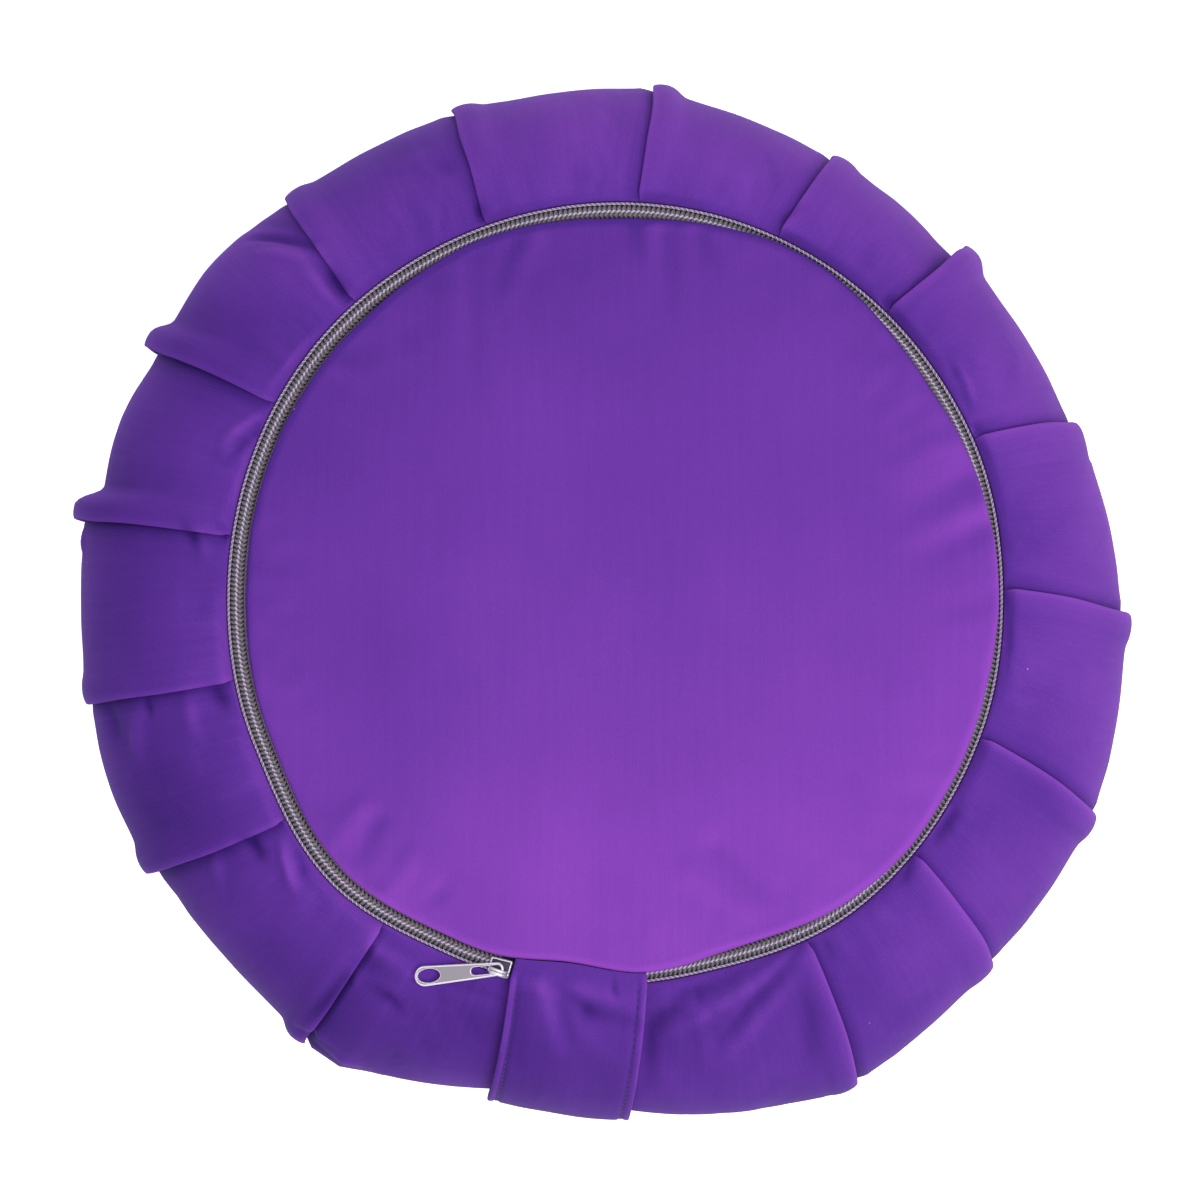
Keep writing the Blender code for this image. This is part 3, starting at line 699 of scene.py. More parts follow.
def make_seat_face():
    """The flat round with its turned up rim, as a closed skin with a soft edge."""
    count = 192
    degs = turn_degs(count)
    under = [(radius, 0.0) for radius in (0.0, 0.030, 0.060, 0.085, SEAT_FLAT_RADIUS)]
    for share in [step / 8 for step in range(1, 9)]:
        rolled = SEAT_FLAT_RADIUS + (SEAT_RADIUS - 0.0012 - SEAT_FLAT_RADIUS) * share
        under.append((rolled, 0.0068 * share**1.6))
    rim = [(SEAT_RADIUS - 0.0003, 0.0075), (SEAT_RADIUS, 0.0082), (SEAT_RADIUS - 0.0003, 0.0089)]
    over = [(radius, height + SEAT_THICKNESS) for radius, height in under[::-1]]
    rows, along = [], []
    for radius, height in under + rim + over:
        pucker = ease((radius - 0.098) / 0.015) * 0.00025
        row = []
        for deg in degs:
            gather = uneven(deg / 3.5, radius * 40.0, 5.0) * pucker
            row.append(polar((0.0, 0.0), deg, radius, height + (gather if height > 0.0008 else 0.0)))
        rows.append(row)
        along.append(radius)
    rows[0], rows[-1] = rows[0][:1], rows[-1][:1]
    across = [SEAT_RADIUS * 2.0 * math.pi * step / count for step in range(count + 1)]
    return skin("seat_face", rows, across, along)


FACE_SHADES = ((0.070, 0.021, 0.230), (0.145, 0.037, 0.340), (0.260, 0.058, 0.470))
seat_face = make_seat_face()
# Painted light: lighter where the seat faces -Y and +X, darker where it faces away.
seat_face.data.materials.append(velvet("seat_velvet", (0.20, -0.30, 0.0), FACE_SHADES))
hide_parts("seat_face_panel")
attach(seat_face, "root")


# The zip's tape. A narrow woven tape of grey lilac yarn that lies flat between the band and the zip
# face and carries the coil; its two ends are hidden by the strap.

TAPE_FROM_DEG = -91.0
TAPE_TO_DEG = 260.0
TAPE_WIDTH = 0.0070
TAPE_LENGTH = 0.73
TAPE_UNDERSIDE = ZIP_FLOOR + 0.0003
TAPE_UPPERSIDE = ZIP_FLOOR + 0.0011
TAPE_ROUNDING = 0.0002
TAPE_STEPS = 420


def along_zip(inset, deg, height):
    """A point of the zip, given by how far it lies inside the zip's outer edge."""
    return polar(ZIP_CENTRE, deg, zip_edge(deg) - inset, height)


def make_tape():
    """The tape as a thin closed strip with round edges."""
    low, high = TAPE_UNDERSIDE, TAPE_UPPERSIDE
    middle = (low + high) / 2
    near, far = TAPE_ROUNDING, TAPE_WIDTH - TAPE_ROUNDING
    section = [(near, low), (TAPE_WIDTH / 2, low), (far, low), (TAPE_WIDTH, middle)]
    section += [(far, high), (TAPE_WIDTH / 2, high), (near, high), (0.0, middle)]
    rows = []
    for step in range(TAPE_STEPS + 1):
        deg = blend(TAPE_FROM_DEG, TAPE_TO_DEG, step / TAPE_STEPS)
        rows.append([along_zip(inset, deg, height) for inset, height in section])
    rows = [[sum(rows[0], Vector()) / len(section)]] + rows + [[sum(rows[-1], Vector()) / len(section)]]
    across = [TAPE_WIDTH * 2.0 * column / len(section) for column in range(len(section) + 1)]
    along = [TAPE_LENGTH * row / len(rows) for row in range(len(rows))]
    return skin("zip_tape_woven", rows, across, along)


def tinted(add, factor, colour, dark, light):
    """A node that mixes a darker and a lighter shade of one colour."""
    shades = {"A": (*[part * dark for part in colour], 1.0), "B": (*[part * light for part in colour], 1.0)}
    return add("Mix", {"Factor": factor}, shades, data_type="RGBA")


def woven(name, colour, pitch):
    """A plain weave: warp and weft as fine crossed ribs."""
    material, add, shader = new_material(name)
    weave = add("UVMap", uv_map="cloth").outputs["UV"]
    yarns = add("Mapping", {"Vector": weave}, {"Scale": (1.0 / pitch, 1.0 / pitch, 1.0)})
    checks = add("TexChecker", {"Vector": yarns.outputs[0]}, {"Scale": 1.0})
    slub = add("TexNoise", {"Vector": yarns.outputs[0]}, {"Scale": 0.8, "Detail": 2.0})
    height = add("Math", {0: checks.outputs["Fac"], 1: slub.outputs["Fac"]}, operation="ADD")
    bump = add("Bump", {"Height": height.outputs[0]}, {"Strength": 0.6, "Distance": 0.0001})
    tint = tinted(add, slub.outputs["Fac"], colour, 0.6, 1.4)
    plug(shader, {"Base Color": tint.outputs["Result"], "Normal": bump.outputs[0]}, {"Roughness": 0.85})
    return material


tape = make_tape()
tape.data.materials.append(woven("tape_weave", (0.030, 0.015, 0.045), 0.0005))
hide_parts("zip_tape")
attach(tape, "root")


# The zip's coil. Two grey nylon coils, meshed down the middle, each sewn to its half of the tape by a
# pale twisted thread: the thread shows as a cord beside each coil and as small stitches over it.

COIL_PITCH = 0.00150
COIL_FROM_DEG = -88.0
COIL_TO_DEG = 254.0
COIL_BOTTOM = ZIP_FLOOR + 0.0015
COIL_TOP = COIL_BOTTOM + 0.0019
COIL_WIRE = 0.00046
COIL_MIDDLE_DOWN = 0.00100
COIL_HALF_RISE = 0.00052
COIL_STEPS = 8
STITCH_STEPS = 7


def tube(name, points, radius, sides=6, upright=(0.0, 0.0, 1.0)):
    """A round wire or thread along a run of points, drawn in to a point at both ends."""
    rows, along = [[points[0]]], [0.0]
    for index, point in enumerate(points):
        heading = (points[min(index + 1, len(points) - 1)] - points[max(index - 1, 0)]).normalized()
        side = heading.cross(Vector(upright)).normalized() * radius
        rise = side.cross(heading)
        turns = [2.0 * math.pi * step / sides for step in range(sides)]
        rows.append([point + side * math.cos(turn) + rise * math.sin(turn) for turn in turns])
        along.append(along[-1] + (point - rows[-2][0]).length)
    rows.append([points[-1]])
    along.append(along[-1])
    across = [2.0 * math.pi * radius * step / sides for step in range(sides + 1)]
    return skin(name, rows, across, along)


def zip_deg(turns_done):
    """The angle at which a number of the coil's turns is reached."""
    return COIL_FROM_DEG + math.degrees(turns_done * COIL_PITCH / ZIP_RADIUS)


COIL_TURNS = int(ZIP_RADIUS * math.radians(COIL_TO_DEG - COIL_FROM_DEG) / COIL_PITCH)


def make_coil(name, outer, head, offset):
    """One coil: a wire that runs across the tape, over its head and back underneath, turn by turn."""
    points = []
    for step in range((COIL_TURNS - 1) * COIL_STEPS):
        turn = step / COIL_STEPS + offset
        share = 2.0 * math.pi * step / COIL_STEPS
        inset = blend(outer, head, 0.5 - 0.5 * math.cos(share))
        height = COIL_TOP - COIL_MIDDLE_DOWN + COIL_HALF_RISE * math.sin(share)
        points.append(along_zip(inset, zip_deg(turn), height))
    return tube(name, points, COIL_WIRE)


def make_ply(name, inset, height, radius, start):
    """One ply of a twisted sewing thread that is laid along the coil's edge."""
    points = []
    for step in range((COIL_TURNS - 1) * COIL_STEPS):
        twist = 2.0 * math.pi * (step / COIL_STEPS + start)
        side = inset + math.cos(twist) * radius * 0.70
        lift = math.sin(twist) * radius * 0.6
        points.append(along_zip(side, zip_deg(step / COIL_STEPS), height + lift))
    return tube(name, points, radius * 0.58, sides=5)


def make_stitches(name, inset, offset, radius):
    """The sewing thread that crosses over the coil, once for each turn, and dives between the turns."""
    points = []
    for step in range((COIL_TURNS - 1) * STITCH_STEPS):
        turn = step / STITCH_STEPS
        wave = math.cos(2.0 * math.pi * turn)
        height = COIL_TOP - 0.00045 + 0.00045 * ease(0.5 + 0.75 * wave) - 0.0004 * ease(-wave)
        side = inset + 0.00022 * math.sin(2.0 * math.pi * turn)
        points.append(along_zip(side, zip_deg(turn + offset), height))
    return tube(name, points, radius)


def nylon(name, colour, roughness, spread):
    """Moulded or spun nylon with a slightly uneven shade and shine."""
    material, add, shader = new_material(name)
    place = add("TexCoord").outputs["Object"]
    grain = add("TexNoise", {"Vector": place}, {"Scale": 900.0, "Detail": 2.0})
    tint = tinted(add, grain.outputs["Fac"], colour, 1.0 - spread, 1.0 + spread)
    bump = add("Bump", {"Height": grain.outputs["Fac"]}, {"Strength": 0.2, "Distance": 0.0001})
    plug(shader, {"Base Color": tint.outputs["Result"], "Normal": bump.outputs[0]}, {"Roughness": roughness})
    return material


coil_nylon = nylon("coil_nylon", (0.140, 0.130, 0.148), 0.45, 0.30)
pale_thread = nylon("sewing_thread", (0.52, 0.43, 0.60), 0.60, 0.15)
# The darker plies of the twisted cords are painted shadow in the twist's grooves.
shadow_thread = nylon("dark_ply", (0.24, 0.18, 0.29), 0.60, 0.20)
dull_thread = nylon("inner_thread", (0.20, 0.165, 0.19), 0.6, 0.25)
tinted_thread = nylon("tinted_thread", (0.20, 0.10, 0.27), 0.6, 0.2)
outer_coil = make_coil("zip_coil_outer", 0.00125, 0.00330, 0.0)
inner_coil = make_coil("zip_coil_inner", 0.00480, 0.00275, 0.5)
cord_height = COIL_TOP - 0.0006
for piece, finish in (
    (outer_coil, coil_nylon),
    (inner_coil, coil_nylon),
    (make_ply("zip_cord_outer_a", 0.00042, cord_height, 0.00036, 0.0), pale_thread),
    (make_ply("zip_cord_outer_b", 0.00042, cord_height, 0.00036, 0.5), shadow_thread),
    (make_ply("zip_cord_inner_a", 0.00545, cord_height, 0.00040, 0.0), tinted_thread),
    (make_ply("zip_cord_inner_b", 0.00545, cord_height, 0.00040, 0.5), shadow_thread),
    (make_stitches("zip_stitches_outer", 0.00275, 0.25, 0.00030), pale_thread),
    (make_stitches("zip_stitches_inner", 0.00375, 0.75, 0.00030), dull_thread),
):
    piece.data.materials.append(finish)
    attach(piece, "root")
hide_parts("zip_coil")


# The zip face. A round of the velvet inside the zip, its edge folded under beside the coil, and
# crowned a little by the filling, with small puckers where its edge is sewn.

FACE_THICKNESS = 0.0022

# Soft folds in the face, each from one place to another, with its half width and rise.
FaceFold = namedtuple("FaceFold", "start end width rise")
FACE_FOLDS = [
    FaceFold((-0.040, 0.104), (-0.040, 0.064), 0.0035, -0.00025),
    FaceFold((-0.045, 0.102), (-0.047, 0.058), 0.0037, 0.00021),
    FaceFold((-0.021, 0.112), (-0.030, 0.092), 0.0030, 0.00034),
    FaceFold((-0.027, 0.110), (-0.034, 0.092), 0.0028, -0.00025),
    FaceFold((0.008, 0.115), (0.009, 0.107), 0.0028, -0.00059),
    FaceFold((0.014, 0.114), (0.015, 0.100), 0.0028, 0.00038),
    FaceFold((0.018, 0.112), (0.020, 0.092), 0.0030, -0.00034),
    FaceFold((0.029, 0.112), (0.033, 0.104), 0.0028, -0.00050),
    FaceFold((0.110, 0.038), (0.094, 0.030), 0.0042, -0.00038),
    FaceFold((0.106, 0.048), (0.088, 0.040), 0.0045, 0.00029),
    FaceFold((0.116, 0.023), (0.098, 0.014), 0.0040, -0.00038),
    FaceFold((0.116, 0.030), (0.092, 0.020), 0.0037, 0.00034),
    FaceFold((0.119, 0.002), (0.104, -0.003), 0.0040, -0.00029),
    FaceFold((-0.074, -0.062), (-0.083, -0.075), 0.0028, 0.00038),
    FaceFold((-0.069, -0.066), (-0.077, -0.080), 0.0028, -0.00038),
    FaceFold((-0.059, -0.078), (-0.067, -0.088), 0.0032, 0.00034),
    FaceFold((-0.050, -0.088), (-0.060, -0.094), 0.0028, -0.00038),
    FaceFold((0.034, -0.074), (0.058, -0.096), 0.0035, -0.00038),
    FaceFold((0.026, -0.082), (0.050, -0.100), 0.0037, 0.00029),
]


def face_fold_off(fold, x, y):
    """One fold's share of how far the face stands off its plain crown."""
    aside, share = beside(Vector((x, y)), Vector(fold.start), Vector(fold.end))
    aside /= fold.width
    if aside > CREASE_TAIL:
        return 0.0
    return fold.rise * math.exp(-aside * aside) * (1.0 - 0.7 * share)


def make_zip_face():
    """The crowned round with a rolled edge, as a closed skin."""
    count = 384
    degs = turn_degs(count)
    shares = [step / 50 for step in range(48)] + [0.955, 0.965, 0.974, 0.983]
    top = [(share, crown_height(share) + FACE_THICKNESS) for share in shares]
    edge_low = crown_height(1.0)
    edge = []
    half = FACE_THICKNESS / 2
    for turn_deg in (80.0, 55.0, 30.0, 0.0, -30.0, -60.0, -85.0):
        sine, cosine = out_and_up(turn_deg)
        edge.append((1.0 - 0.0095 * (1.0 - cosine), edge_low + half + half * sine))
    bottom = [(share, crown_height(share)) for share in shares[::-3]]
    rows, shades, along = [], [], []
    for share, height in top + edge + bottom:
        row, shade = [], []
        for deg in degs:
            radius = face_edge(deg) * share
            radius += uneven(deg / 6.0, 0.0, 4.4) * 0.00025 * ease((share - 0.9) / 0.1)
            place = polar(ZIP_CENTRE, deg, radius, height)
            rim = ease((share - 0.80) / 0.12) * (1.0 - ease((share - 0.985) / 0.015))
            patch = ease(0.5 + uneven(deg / 24.0, 1.0, 7.0))
            off = uneven(deg / 3.6, share * 12.0, 2.2) * 0.00026 * rim * patch
            off += uneven(place.x * 14.0, place.y * 14.0, 6.6) * 0.0006 * (1.0 - share**3)
            off += sum(face_fold_off(fold, place.x, place.y) for fold in FACE_FOLDS)
            row.append(place + Vector((0.0, 0.0, off)))
            # Painted shade: the face is painted lighter where it stands up off its crown and darker in its
            # dips and folds.
            shade.append(off * CREASE_SHADE)
        rows.append(row)
        shades.append(shade)
        along.append(share * ZIP_RADIUS)
    rows[0], rows[-1] = rows[0][:1], rows[-1][:1]
    across = [ZIP_RADIUS * 2.0 * math.pi * step / count for step in range(count + 1)]
    return skin("zip_face", rows, across, along, shades)


def lay_weave_flat(piece):
    """Lays a round's weave straight across it, from its points seen from above."""
    cloth = piece.data.uv_layers["cloth"]
    for loop in piece.data.loops:
        place = piece.data.vertices[loop.vertex_index].co
        cloth.data[loop.index].uv = (place.x, place.y)


zip_face = make_zip_face()
lay_weave_flat(zip_face)
lay_weave_flat(seat_face)
# Painted light: the face is painted lighter where its crown turns towards -Y and +X, darker on the far side.
zip_face.data.materials.append(velvet("face_velvet", (0.9, -1.7, 0.0), FACE_SHADES, clouding=0.40))
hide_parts("zip_face_panel")
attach(zip_face, "root")


# The strap. A doubled strip of the velvet with topstitched edges, sewn in at the zip face and again at
# the seat seam, and lying flat over the band. It covers the two ends of the zip.

STRAP_WIDTH = 0.0446
STRAP_THICKNESS = 0.0024
STRAP_DEG = -95.2
STRAP_LEVEL_LEFT = 0.1578
STRAP_LEVEL_RIGHT = 0.1600
STRAP_PINCH = 0.05
STRAP_CLEAR_SEAM = 0.0017
STRAP_CLEAR_BAND = 0.0029
STRAP_TONGUE = 0.0072
STRAP_END_DEG = 174.0
STITCH_INSET = 0.0027
STITCH_PITCH = 0.0026
TOPSTITCH_RADIUS = 0.00022
TOPSTITCH_STEPS = 8

# Creases in the strap, in metres across from its middle and down from the zip.
STRAP_FOLDS = [
    FaceFold((-0.0125, 0.000), (-0.0045, 0.022), 0.0034, 0.0010),
    FaceFold((-0.0085, -0.002), (0.0030, 0.008), 0.0026, -0.0010),
    FaceFold((0.0030, 0.008), (0.0190, 0.0125), 0.0028, -0.0011),
    FaceFold((-0.0060, 0.006), (-0.0010, 0.017), 0.0030, -0.0007),
    FaceFold((-0.0030, -0.001), (0.0150, 0.0055), 0.0028, 0.0009),
    FaceFold((0.0110, 0.000), (0.0122, 0.0024), 0.0011, -0.0010),
    FaceFold((0.0020, 0.015), (0.0130, 0.0240), 0.0040, 0.0006),
    FaceFold((-0.0185, 0.004), (-0.0170, 0.030), 0.0028, -0.0006),
]


def strap_point(row_deg, across, depth, inset=0.0):
    """A point of the strap: across from -1, its left edge, to 1, and depth through its thickness."""
    level = blend(STRAP_LEVEL_LEFT, STRAP_LEVEL_RIGHT, (across + 1.0) / 2.0)
    out, up = out_and_up(row_deg)
    radius = SEAM_RADIUS + (level - SEAM_RADIUS) * out
    half = STRAP_WIDTH / 2 * (1.0 - STRAP_PINCH * abs(up))
    deg = STRAP_DEG + math.degrees(across * half / radius)
    sewn = ease(min(row_deg, 180.0 - row_deg) / SEWN_FLAT_DEG)
    clear = blend(STRAP_CLEAR_SEAM, STRAP_CLEAR_BAND, sewn)
    if inset > 0.0:
        edge = max(zip_edge(deg) - inset, face_edge(deg) + 0.0001)
        return polar(ZIP_CENTRE, deg, edge, ZIP_SEAM_HEIGHT + clear + depth)
    return band_point(row_deg, deg, level, 0.0, clear * up * up + depth)


def strap_wrinkle(row_deg, across):
    """How far the strap's upper side stands off: its creases, its rolled edges and its topstitch."""
    place = Vector((across * STRAP_WIDTH / 2, row_deg * CLOTH_A_ROW_DEG))
    from_edge = (1.0 - abs(across)) * STRAP_WIDTH / 2
    inner = ease(from_edge / 0.0035)
    off = 0.0006 * uneven(across * 1.6, row_deg / 38.0, 2.4) * inner
    for fold in STRAP_FOLDS:
        aside, share = beside(place, Vector(fold.start), Vector(fold.end))
        aside /= fold.width
        off += fold.rise * math.exp(-aside * aside) * (1.0 - 0.5 * share) * inner
    groove = math.exp(-(((from_edge - STITCH_INSET) / 0.0008) ** 2))
    return off - 0.00055 * groove + 0.00025 * (1.0 - inner)


def make_strap():
    """The strap as a closed skin with rolled edges."""
    middle = STRAP_THICKNESS / 2
    columns = [-0.985 + 1.97 * step / 60 for step in range(61)]
    section = [(across, STRAP_THICKNESS) for across in columns]
    high, low = STRAP_THICKNESS * 0.85, STRAP_THICKNESS * 0.15
    section += [(0.996, high), (1.0, middle), (0.996, low)]
    section += [(across, 0.0) for across in columns[::-1]]
    section += [(-0.996, low), (-1.0, middle), (-0.996, high)]
    rows = [[strap_point(0.0, across, middle, STRAP_TONGUE) for across, depth in section]]
    shades = [[0.0] * len(section)]
    for share in (0.985, 0.75, 0.35):
        rows.append([strap_point(0.0, *place, inset=STRAP_TONGUE * share) for place in section])
        shades.append([0.0] * len(section))
    steps = 120
    for step in range(steps + 1):
        row_deg = STRAP_END_DEG * step / steps
        row, shade = [], []
        for across, depth in section:
            off = strap_wrinkle(row_deg, across)
            bulge = off if depth > middle else 0.0
            row.append(strap_point(row_deg, across, depth + bulge))
            # Painted shade on the strap: lighter where a crease stands up and darker in its dips, and a
            # painted highlight on the strip between each edge and its topstitch.
            from_edge = (1.0 - abs(across)) * STRAP_WIDTH / 2
            rolled = 0.15 * (1.0 - ease((from_edge - STITCH_INSET + 0.0010) / 0.0008))
            shade.append(bulge * CREASE_SHADE + rolled)
        rows.append(row)
        shades.append(shade)
    rows.append([strap_point(STRAP_END_DEG + 1.0, across, middle) for across, depth in section])
    shades.append([0.0] * len(section))
    across = lengths_along(rows[60] + rows[60][:1])
    along = lengths_along([row[20] for row in rows])
    return skin("strap", rows, across, along, shades)


def make_topstitch(name, side):
    """One row of topstitch: a thread that shows for most of each stitch, then dives into the velvet."""
    across = side * (1.0 - STITCH_INSET / (STRAP_WIDTH / 2))
    points = []
    for step in range(int((STRAP_END_DEG - 6.0) * CLOTH_A_ROW_DEG / STITCH_PITCH * TOPSTITCH_STEPS)):
        row_deg = 2.0 + step / TOPSTITCH_STEPS * STITCH_PITCH / CLOTH_A_ROW_DEG
        wave = math.cos(2.0 * math.pi * step / TOPSTITCH_STEPS)
        sunk = 0.00012 - 0.00060 * ease((-0.25 - wave) / 0.5)
        depth = STRAP_THICKNESS + strap_wrinkle(row_deg, across) + sunk
        points.append(strap_point(row_deg, across, depth))
    return tube(name, points, TOPSTITCH_RADIUS, upright=(1.0, 0.0, 0.0))


strap = make_strap()
# Painted light, as on the band: lighter where the strap faces +X and a little +Y.
strap.data.materials.append(velvet("strap_velvet", (0.30, 0.16, 0.0), BAND_SHADES))
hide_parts("handle_strap")
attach(strap, "root")
strap_thread = nylon("purple_thread", (0.030, 0.008, 0.100), 0.7, 0.2)
for name, side in (("strap_topstitch_left", -1.0), ("strap_topstitch_right", 1.0)):
    topstitch = make_topstitch(name, side)
    topstitch.data.materials.append(strap_thread)
    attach(topstitch, "root")


# The slider. A nickel plated body that runs over the coil, with a bent wire bridge along it that holds
# the pull tab.

SLIDER_DEG = -107.2
SLIDER_LENGTH = 0.0068
SLIDER_WIDTH = 0.0060
SLIDER_PLATE = 0.0013
SLIDER_BEVEL = 0.00060
SLIDER_INSET = 0.0020
FLANGE_SIZE = (0.0054, 0.0008, 0.0016)
FLANGE_PLACE = (0.0, -0.0026, -0.00015)
BRIDGE_OUT = 0.0016
BRIDGE_SPAN = 0.0052
BRIDGE_WIRE = 0.00046
BRIDGE_STRAND = 0.00052


def edges_of(verts):
    """The edges that meet at some points, each once and in the same order every run."""
    return list(dict.fromkeys(edge for vert in verts for edge in vert.link_edges))


def slider_place():
    """Where the slider sits on the zip, and how it is turned along it."""
    radius = zip_edge(SLIDER_DEG) - SLIDER_INSET
    place = Matrix.Translation(polar(ZIP_CENTRE, SLIDER_DEG, radius, COIL_TOP + 0.0003))
    return place @ Matrix.Rotation(math.radians(SLIDER_DEG + 90.0), 4, "Z")


def make_slider():
    """The body with its flange."""
    shape = bmesh.new()
    size = Matrix.Diagonal((SLIDER_LENGTH, SLIDER_WIDTH, SLIDER_PLATE, 1.0))
    body = bmesh.ops.create_cube(shape, size=1.0, matrix=Matrix.Translation((0, 0, SLIDER_PLATE / 2)) @ size)
    for vert in body["verts"]:
        vert.co.y *= 0.80 if vert.co.x < 0.0 else 0.94
    flange = Matrix.Translation(FLANGE_PLACE) @ Matrix.Diagonal((*FLANGE_SIZE, 1.0))
    bmesh.ops.create_cube(shape, size=1.0, matrix=flange)
    bmesh.ops.bevel(
        shape, geom=shape.edges[:], offset=SLIDER_BEVEL, segments=5, affect="EDGES", profile=0.5, material=-1
    )
    bmesh.ops.recalc_face_normals(shape, faces=shape.faces)
    bmesh.ops.transform(shape, matrix=slider_place(), verts=shape.verts)
    return mesh_object(shape, "slider_body", crisp_deg=50.0)


def make_bridge():
    """The bridge: two strands of wire side by side, bent into a low arch."""
    shape = bmesh.new()
    for aside in (-BRIDGE_STRAND, BRIDGE_STRAND):
        middle = Vector((0.0, aside - BRIDGE_OUT, SLIDER_PLATE - 0.0003))
        foot = Matrix.Translation(middle + Vector((BRIDGE_SPAN / 2, 0.0, 0.0)))
        wire = bmesh.ops.create_circle(shape, segments=12, radius=BRIDGE_WIRE, matrix=foot)
        edges = edges_of(wire["verts"])
        bent = {"cent": middle, "axis": (0.0, -1.0, 0.0), "angle": math.pi, "steps": 20}
        bmesh.ops.spin(shape, geom=wire["verts"] + edges, **bent)
    bmesh.ops.holes_fill(shape, edges=shape.edges, sides=12)
    raised = [vert for vert in shape.verts if vert.co.z > SLIDER_PLATE]
    taller = Matrix.Translation((0, 0, SLIDER_PLATE)) @ Matrix.Diagonal((1, 1, 1.14, 1))
    bmesh.ops.transform(shape, matrix=taller @ Matrix.Translation((0, 0, -SLIDER_PLATE)), verts=raised)
    bmesh.ops.recalc_face_normals(shape, faces=shape.faces)
    bmesh.ops.transform(shape, matrix=slider_place(), verts=shape.verts)
    shape.verts.index_update()
    shape.faces.sort(key=lambda face: sum(vert.index**3 for vert in face.verts))
    return mesh_object(shape, "slider_bridge", crisp_deg=50.0)


def nickel(name, flat_painted_reflection, rim_painted_highlight):
    """Lightly scratched nickel plate: a painted highlight over its edges, a darker painted reflection on
    flats.
    """
    material, add, shader = new_material(name)
    place = add("TexCoord")
    flat = add("SeparateXYZ", {0: place.outputs["Normal"]}).outputs["Z"]
    facing = add("MapRange", {"Value": flat}, {"From Min": 0.970, "From Max": 0.990})
    drawn = add("Mapping", {"Vector": place.outputs["Object"]}, {"Scale": (600.0, 6000.0, 600.0)})
    scratches = add("TexNoise", {"Vector": drawn.outputs[0]}, {"Scale": 1.0, "Detail": 3.0})
    # Painted light: the colour goes from the painted highlight on the edges to the painted reflection on the
    # flats.
    shades = {"A": (*rim_painted_highlight, 1.0), "B": (*flat_painted_reflection, 1.0)}
    tint = add("Mix", {"Factor": facing.outputs[0]}, shades, data_type="RGBA")
    rough = add("MapRange", {"Value": facing.outputs[0]}, {"To Min": 0.50, "To Max": 0.38})
    scratch = scratches.outputs["Fac"]
    dulled = add("Math", {0: scratch, 2: rough.outputs[0]}, {1: 0.12}, operation="MULTIPLY_ADD")
    bump = add("Bump", {"Height": scratch}, {"Strength": 0.08, "Distance": 0.0001})
    links = {"Base Color": tint.outputs["Result"], "Roughness": dulled.outputs[0], "Normal": bump.outputs[0]}
    plug(shader, links, {"Metallic": 1.0})
    return material


slider = make_slider()
# Painted reflection: the slider's flats are painted nearly black, and its edges carry a bright painted
# highlight.
slider.data.materials.append(nickel("slider_nickel", (0.030, 0.026, 0.040), (0.90, 0.87, 0.93)))
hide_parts("zip_slider")
bridge = make_bridge()
# Painted highlight: the bridge is painted bright all over, brightest on its edges.
bridge.data.materials.append(nickel("bridge_nickel", (0.85, 0.82, 0.88), (0.95, 0.92, 0.97)))
for piece in (slider, bridge):
    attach(piece, "root")


# The pull tab. A stamped nickel plate, wide and rounded at the finger end with an oval hole, and with
# a long slot at its narrow end that hangs on the slider's bridge. Its rim is rolled and carries a painted
# highlight, and its face a darker painted reflection.

PULL_LENGTH = 0.0275
PULL_WIDE_RADIUS = 0.0031
PULL_NARROW_RADIUS = 0.0021
PULL_THICKNESS = 0.0012
PULL_HOLE = (0.0069, 0.0042)
PULL_HOLE_INWARD = 0.0013
PULL_SLOT = (0.0092, 0.0024)
PULL_RIM = 0.00052
PULL_FLAT_EDGE = 0.00003
PULL_HOLE_RIM_SHARE = 0.5
PULL_SLIP = 0.0022
PULL_LIFT = 0.0008
PULL_HEADING_DEG = 186.0
PULL_DIP_DEG = 7.0


def rounded_outline(shape, near_radius, far, far_radius, height):
    """Adds the outline round two circles, one at the origin and one along X, as a loop of edges."""
    slant = (near_radius - far_radius) / far
    level = Matrix.Translation((0.0, 0.0, height))
    circle = bmesh.ops.create_circle(shape, segments=48, radius=1.0, matrix=level)
    for vert in circle["verts"]:
        at_far_end = vert.co.x > slant
        radius = far_radius if at_far_end else near_radius
        vert.co.x = vert.co.x * radius + (far if at_far_end else 0.0)
        vert.co.y *= radius
    return edges_of(circle["verts"])


def pull_rings(shape, inset, height):
    """The outline of the tab and its two holes at one height, drawn in from the full outline."""
    wide = PULL_LENGTH - PULL_NARROW_RADIUS - PULL_WIDE_RADIUS
    outline = rounded_outline(shape, PULL_NARROW_RADIUS - inset, wide, PULL_WIDE_RADIUS - inset, height)
    hole_inset = inset * PULL_HOLE_RIM_SHARE
    half = PULL_SLOT[1] / 2 + hole_inset
    slot = rounded_outline(shape, half, PULL_SLOT[0] - PULL_SLOT[1], half, height)
    centre = Matrix.Translation((wide - PULL_HOLE_INWARD, 0.0, height))
    oval = Matrix.Diagonal((PULL_HOLE[0] / 2 + hole_inset, PULL_HOLE[1] / 2 + hole_inset, 1.0, 1.0))
    hole = bmesh.ops.create_circle(shape, segments=36, radius=1.0, matrix=centre @ oval)
    return [outline, slot, edges_of(hole["verts"])]


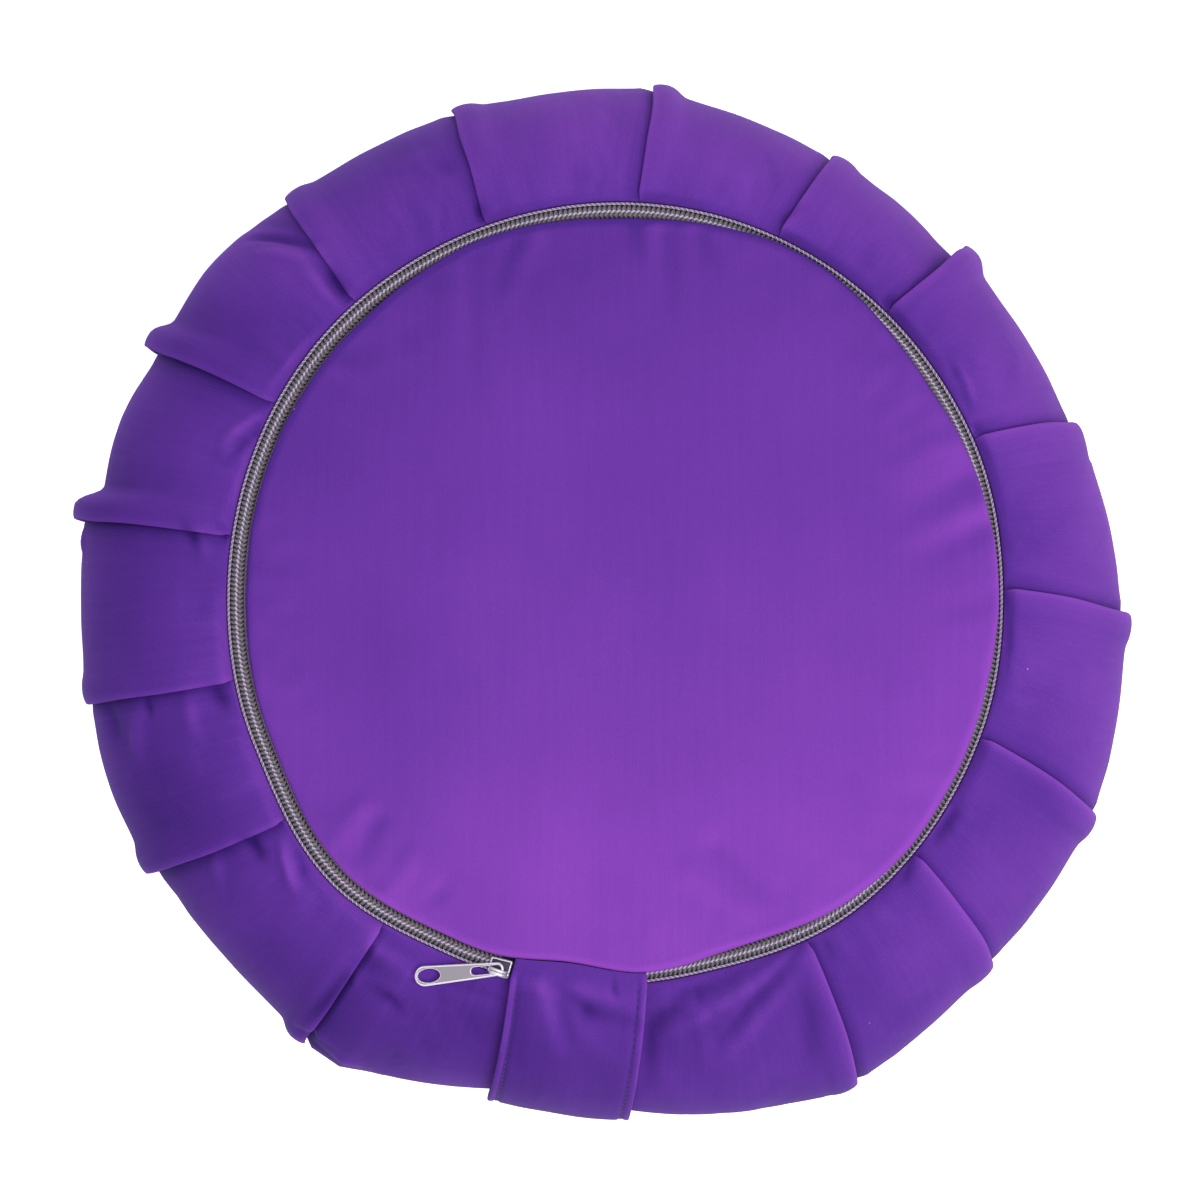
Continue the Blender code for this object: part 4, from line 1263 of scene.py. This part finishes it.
def make_pull():
    """The tab: rings from its underside to its face, joined, and filled at both ends."""
    shape = bmesh.new()
    rim = []
    for turn_deg in (90.0, 60.0, 30.0, 0.0):
        sine, cosine = out_and_up(turn_deg)
        rim.append((PULL_RIM * (1.0 - cosine), PULL_RIM * (1.0 - sine)))
    rings = [pull_rings(shape, inset, height) for inset, height in rim]
    rings += [pull_rings(shape, inset, PULL_THICKNESS - height) for inset, height in rim[::-1]]
    flats = []
    for ring in (rings[0], rings[-1]):
        filled = bmesh.ops.triangle_fill(shape, edges=sum(ring, []), use_beauty=True, use_dissolve=False)
        flats.append([item for item in filled["geom"] if isinstance(item, bmesh.types.BMFace)])
    for lower, upper in zip(rings, rings[1:]):
        for first, second in zip(lower, upper):
            bmesh.ops.bridge_loops(shape, edges=first + second)
    for flat in flats:
        bmesh.ops.inset_region(shape, faces=flat, thickness=PULL_FLAT_EDGE, use_even_offset=True)
    bmesh.ops.recalc_face_normals(shape, faces=shape.faces)
    leg = Vector((-BRIDGE_SPAN / 2, -BRIDGE_OUT, SLIDER_PLATE + PULL_LIFT))
    heading = Matrix.Rotation(math.radians(PULL_HEADING_DEG), 4, "Z")
    dip = Matrix.Rotation(math.radians(PULL_DIP_DEG), 4, "Y")
    place = slider_place() @ leg - heading @ Vector((PULL_SLIP, 0.0, 0.0))
    bmesh.ops.transform(shape, matrix=Matrix.Translation(place) @ heading @ dip, verts=shape.verts)
    return mesh_object(shape, "pull_tab", crisp_deg=50.0)


pull = make_pull()
# Painted light: a grey painted reflection on the tab's faces and a bright painted highlight on its rim.
pull.data.materials.append(nickel("pull_nickel", (0.27, 0.250, 0.285), (0.98, 0.94, 0.99)))
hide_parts("zip_pull")
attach(pull, "root")


# The studio. A plain white floor, a large soft light high on the right, a weaker one on the left, and
# the camera straight above the cushion.


def make_floor():
    """A wide pale floor that glows a little, as a lit white table does."""
    shape = bmesh.new()
    bmesh.ops.create_grid(shape, x_segments=2, y_segments=2, size=3.0)
    floor = mesh_object(shape, "studio_floor")
    material, _, shader = new_material("studio_white")
    glow = {"Emission Color": (1.0, 1.0, 1.0, 1.0), "Emission Strength": 0.75}
    plug(shader, values={"Base Color": (0.90, 0.90, 0.90, 1.0), "Roughness": 0.9, **glow})
    floor.data.materials.append(material)


def soft_light(name, place, size, power):
    """A square soft box that faces the cushion."""
    light = bpy.data.lights.new(name, "AREA")
    light.size = size
    light.energy = power
    lamp = bpy.data.objects.new(name, light)
    lamp.location = place
    lamp.rotation_euler = (Vector((0.0, 0.0, 0.08)) - Vector(place)).to_track_quat("-Z", "Y").to_euler()
    bpy.context.scene.collection.objects.link(lamp)


make_floor()
soft_light("soft_box_over", (0.45, -0.30, 1.75), 1.3, 27.0)
soft_light("soft_box_low", (-1.2, 0.9, 1.2), 0.8, 5.0)
world = bpy.data.worlds.new("studio_air")
world.use_nodes = True
plug(world.node_tree.nodes["Background"], values={"Color": (1.0, 1.0, 1.0, 1.0), "Strength": 0.42})
bpy.context.scene.world = world
bpy.context.scene.view_settings.view_transform = "Standard"

camera_lens = bpy.data.cameras.new("camera")
camera_lens.sensor_width = 36.0
camera_lens.lens = 160.1
camera_lens.clip_end = 20.0
camera = bpy.data.objects.new("camera", camera_lens)
camera.location = (-0.0013, 0.0006, 1.738)
bpy.context.scene.collection.objects.link(camera)
bpy.context.scene.camera = camera
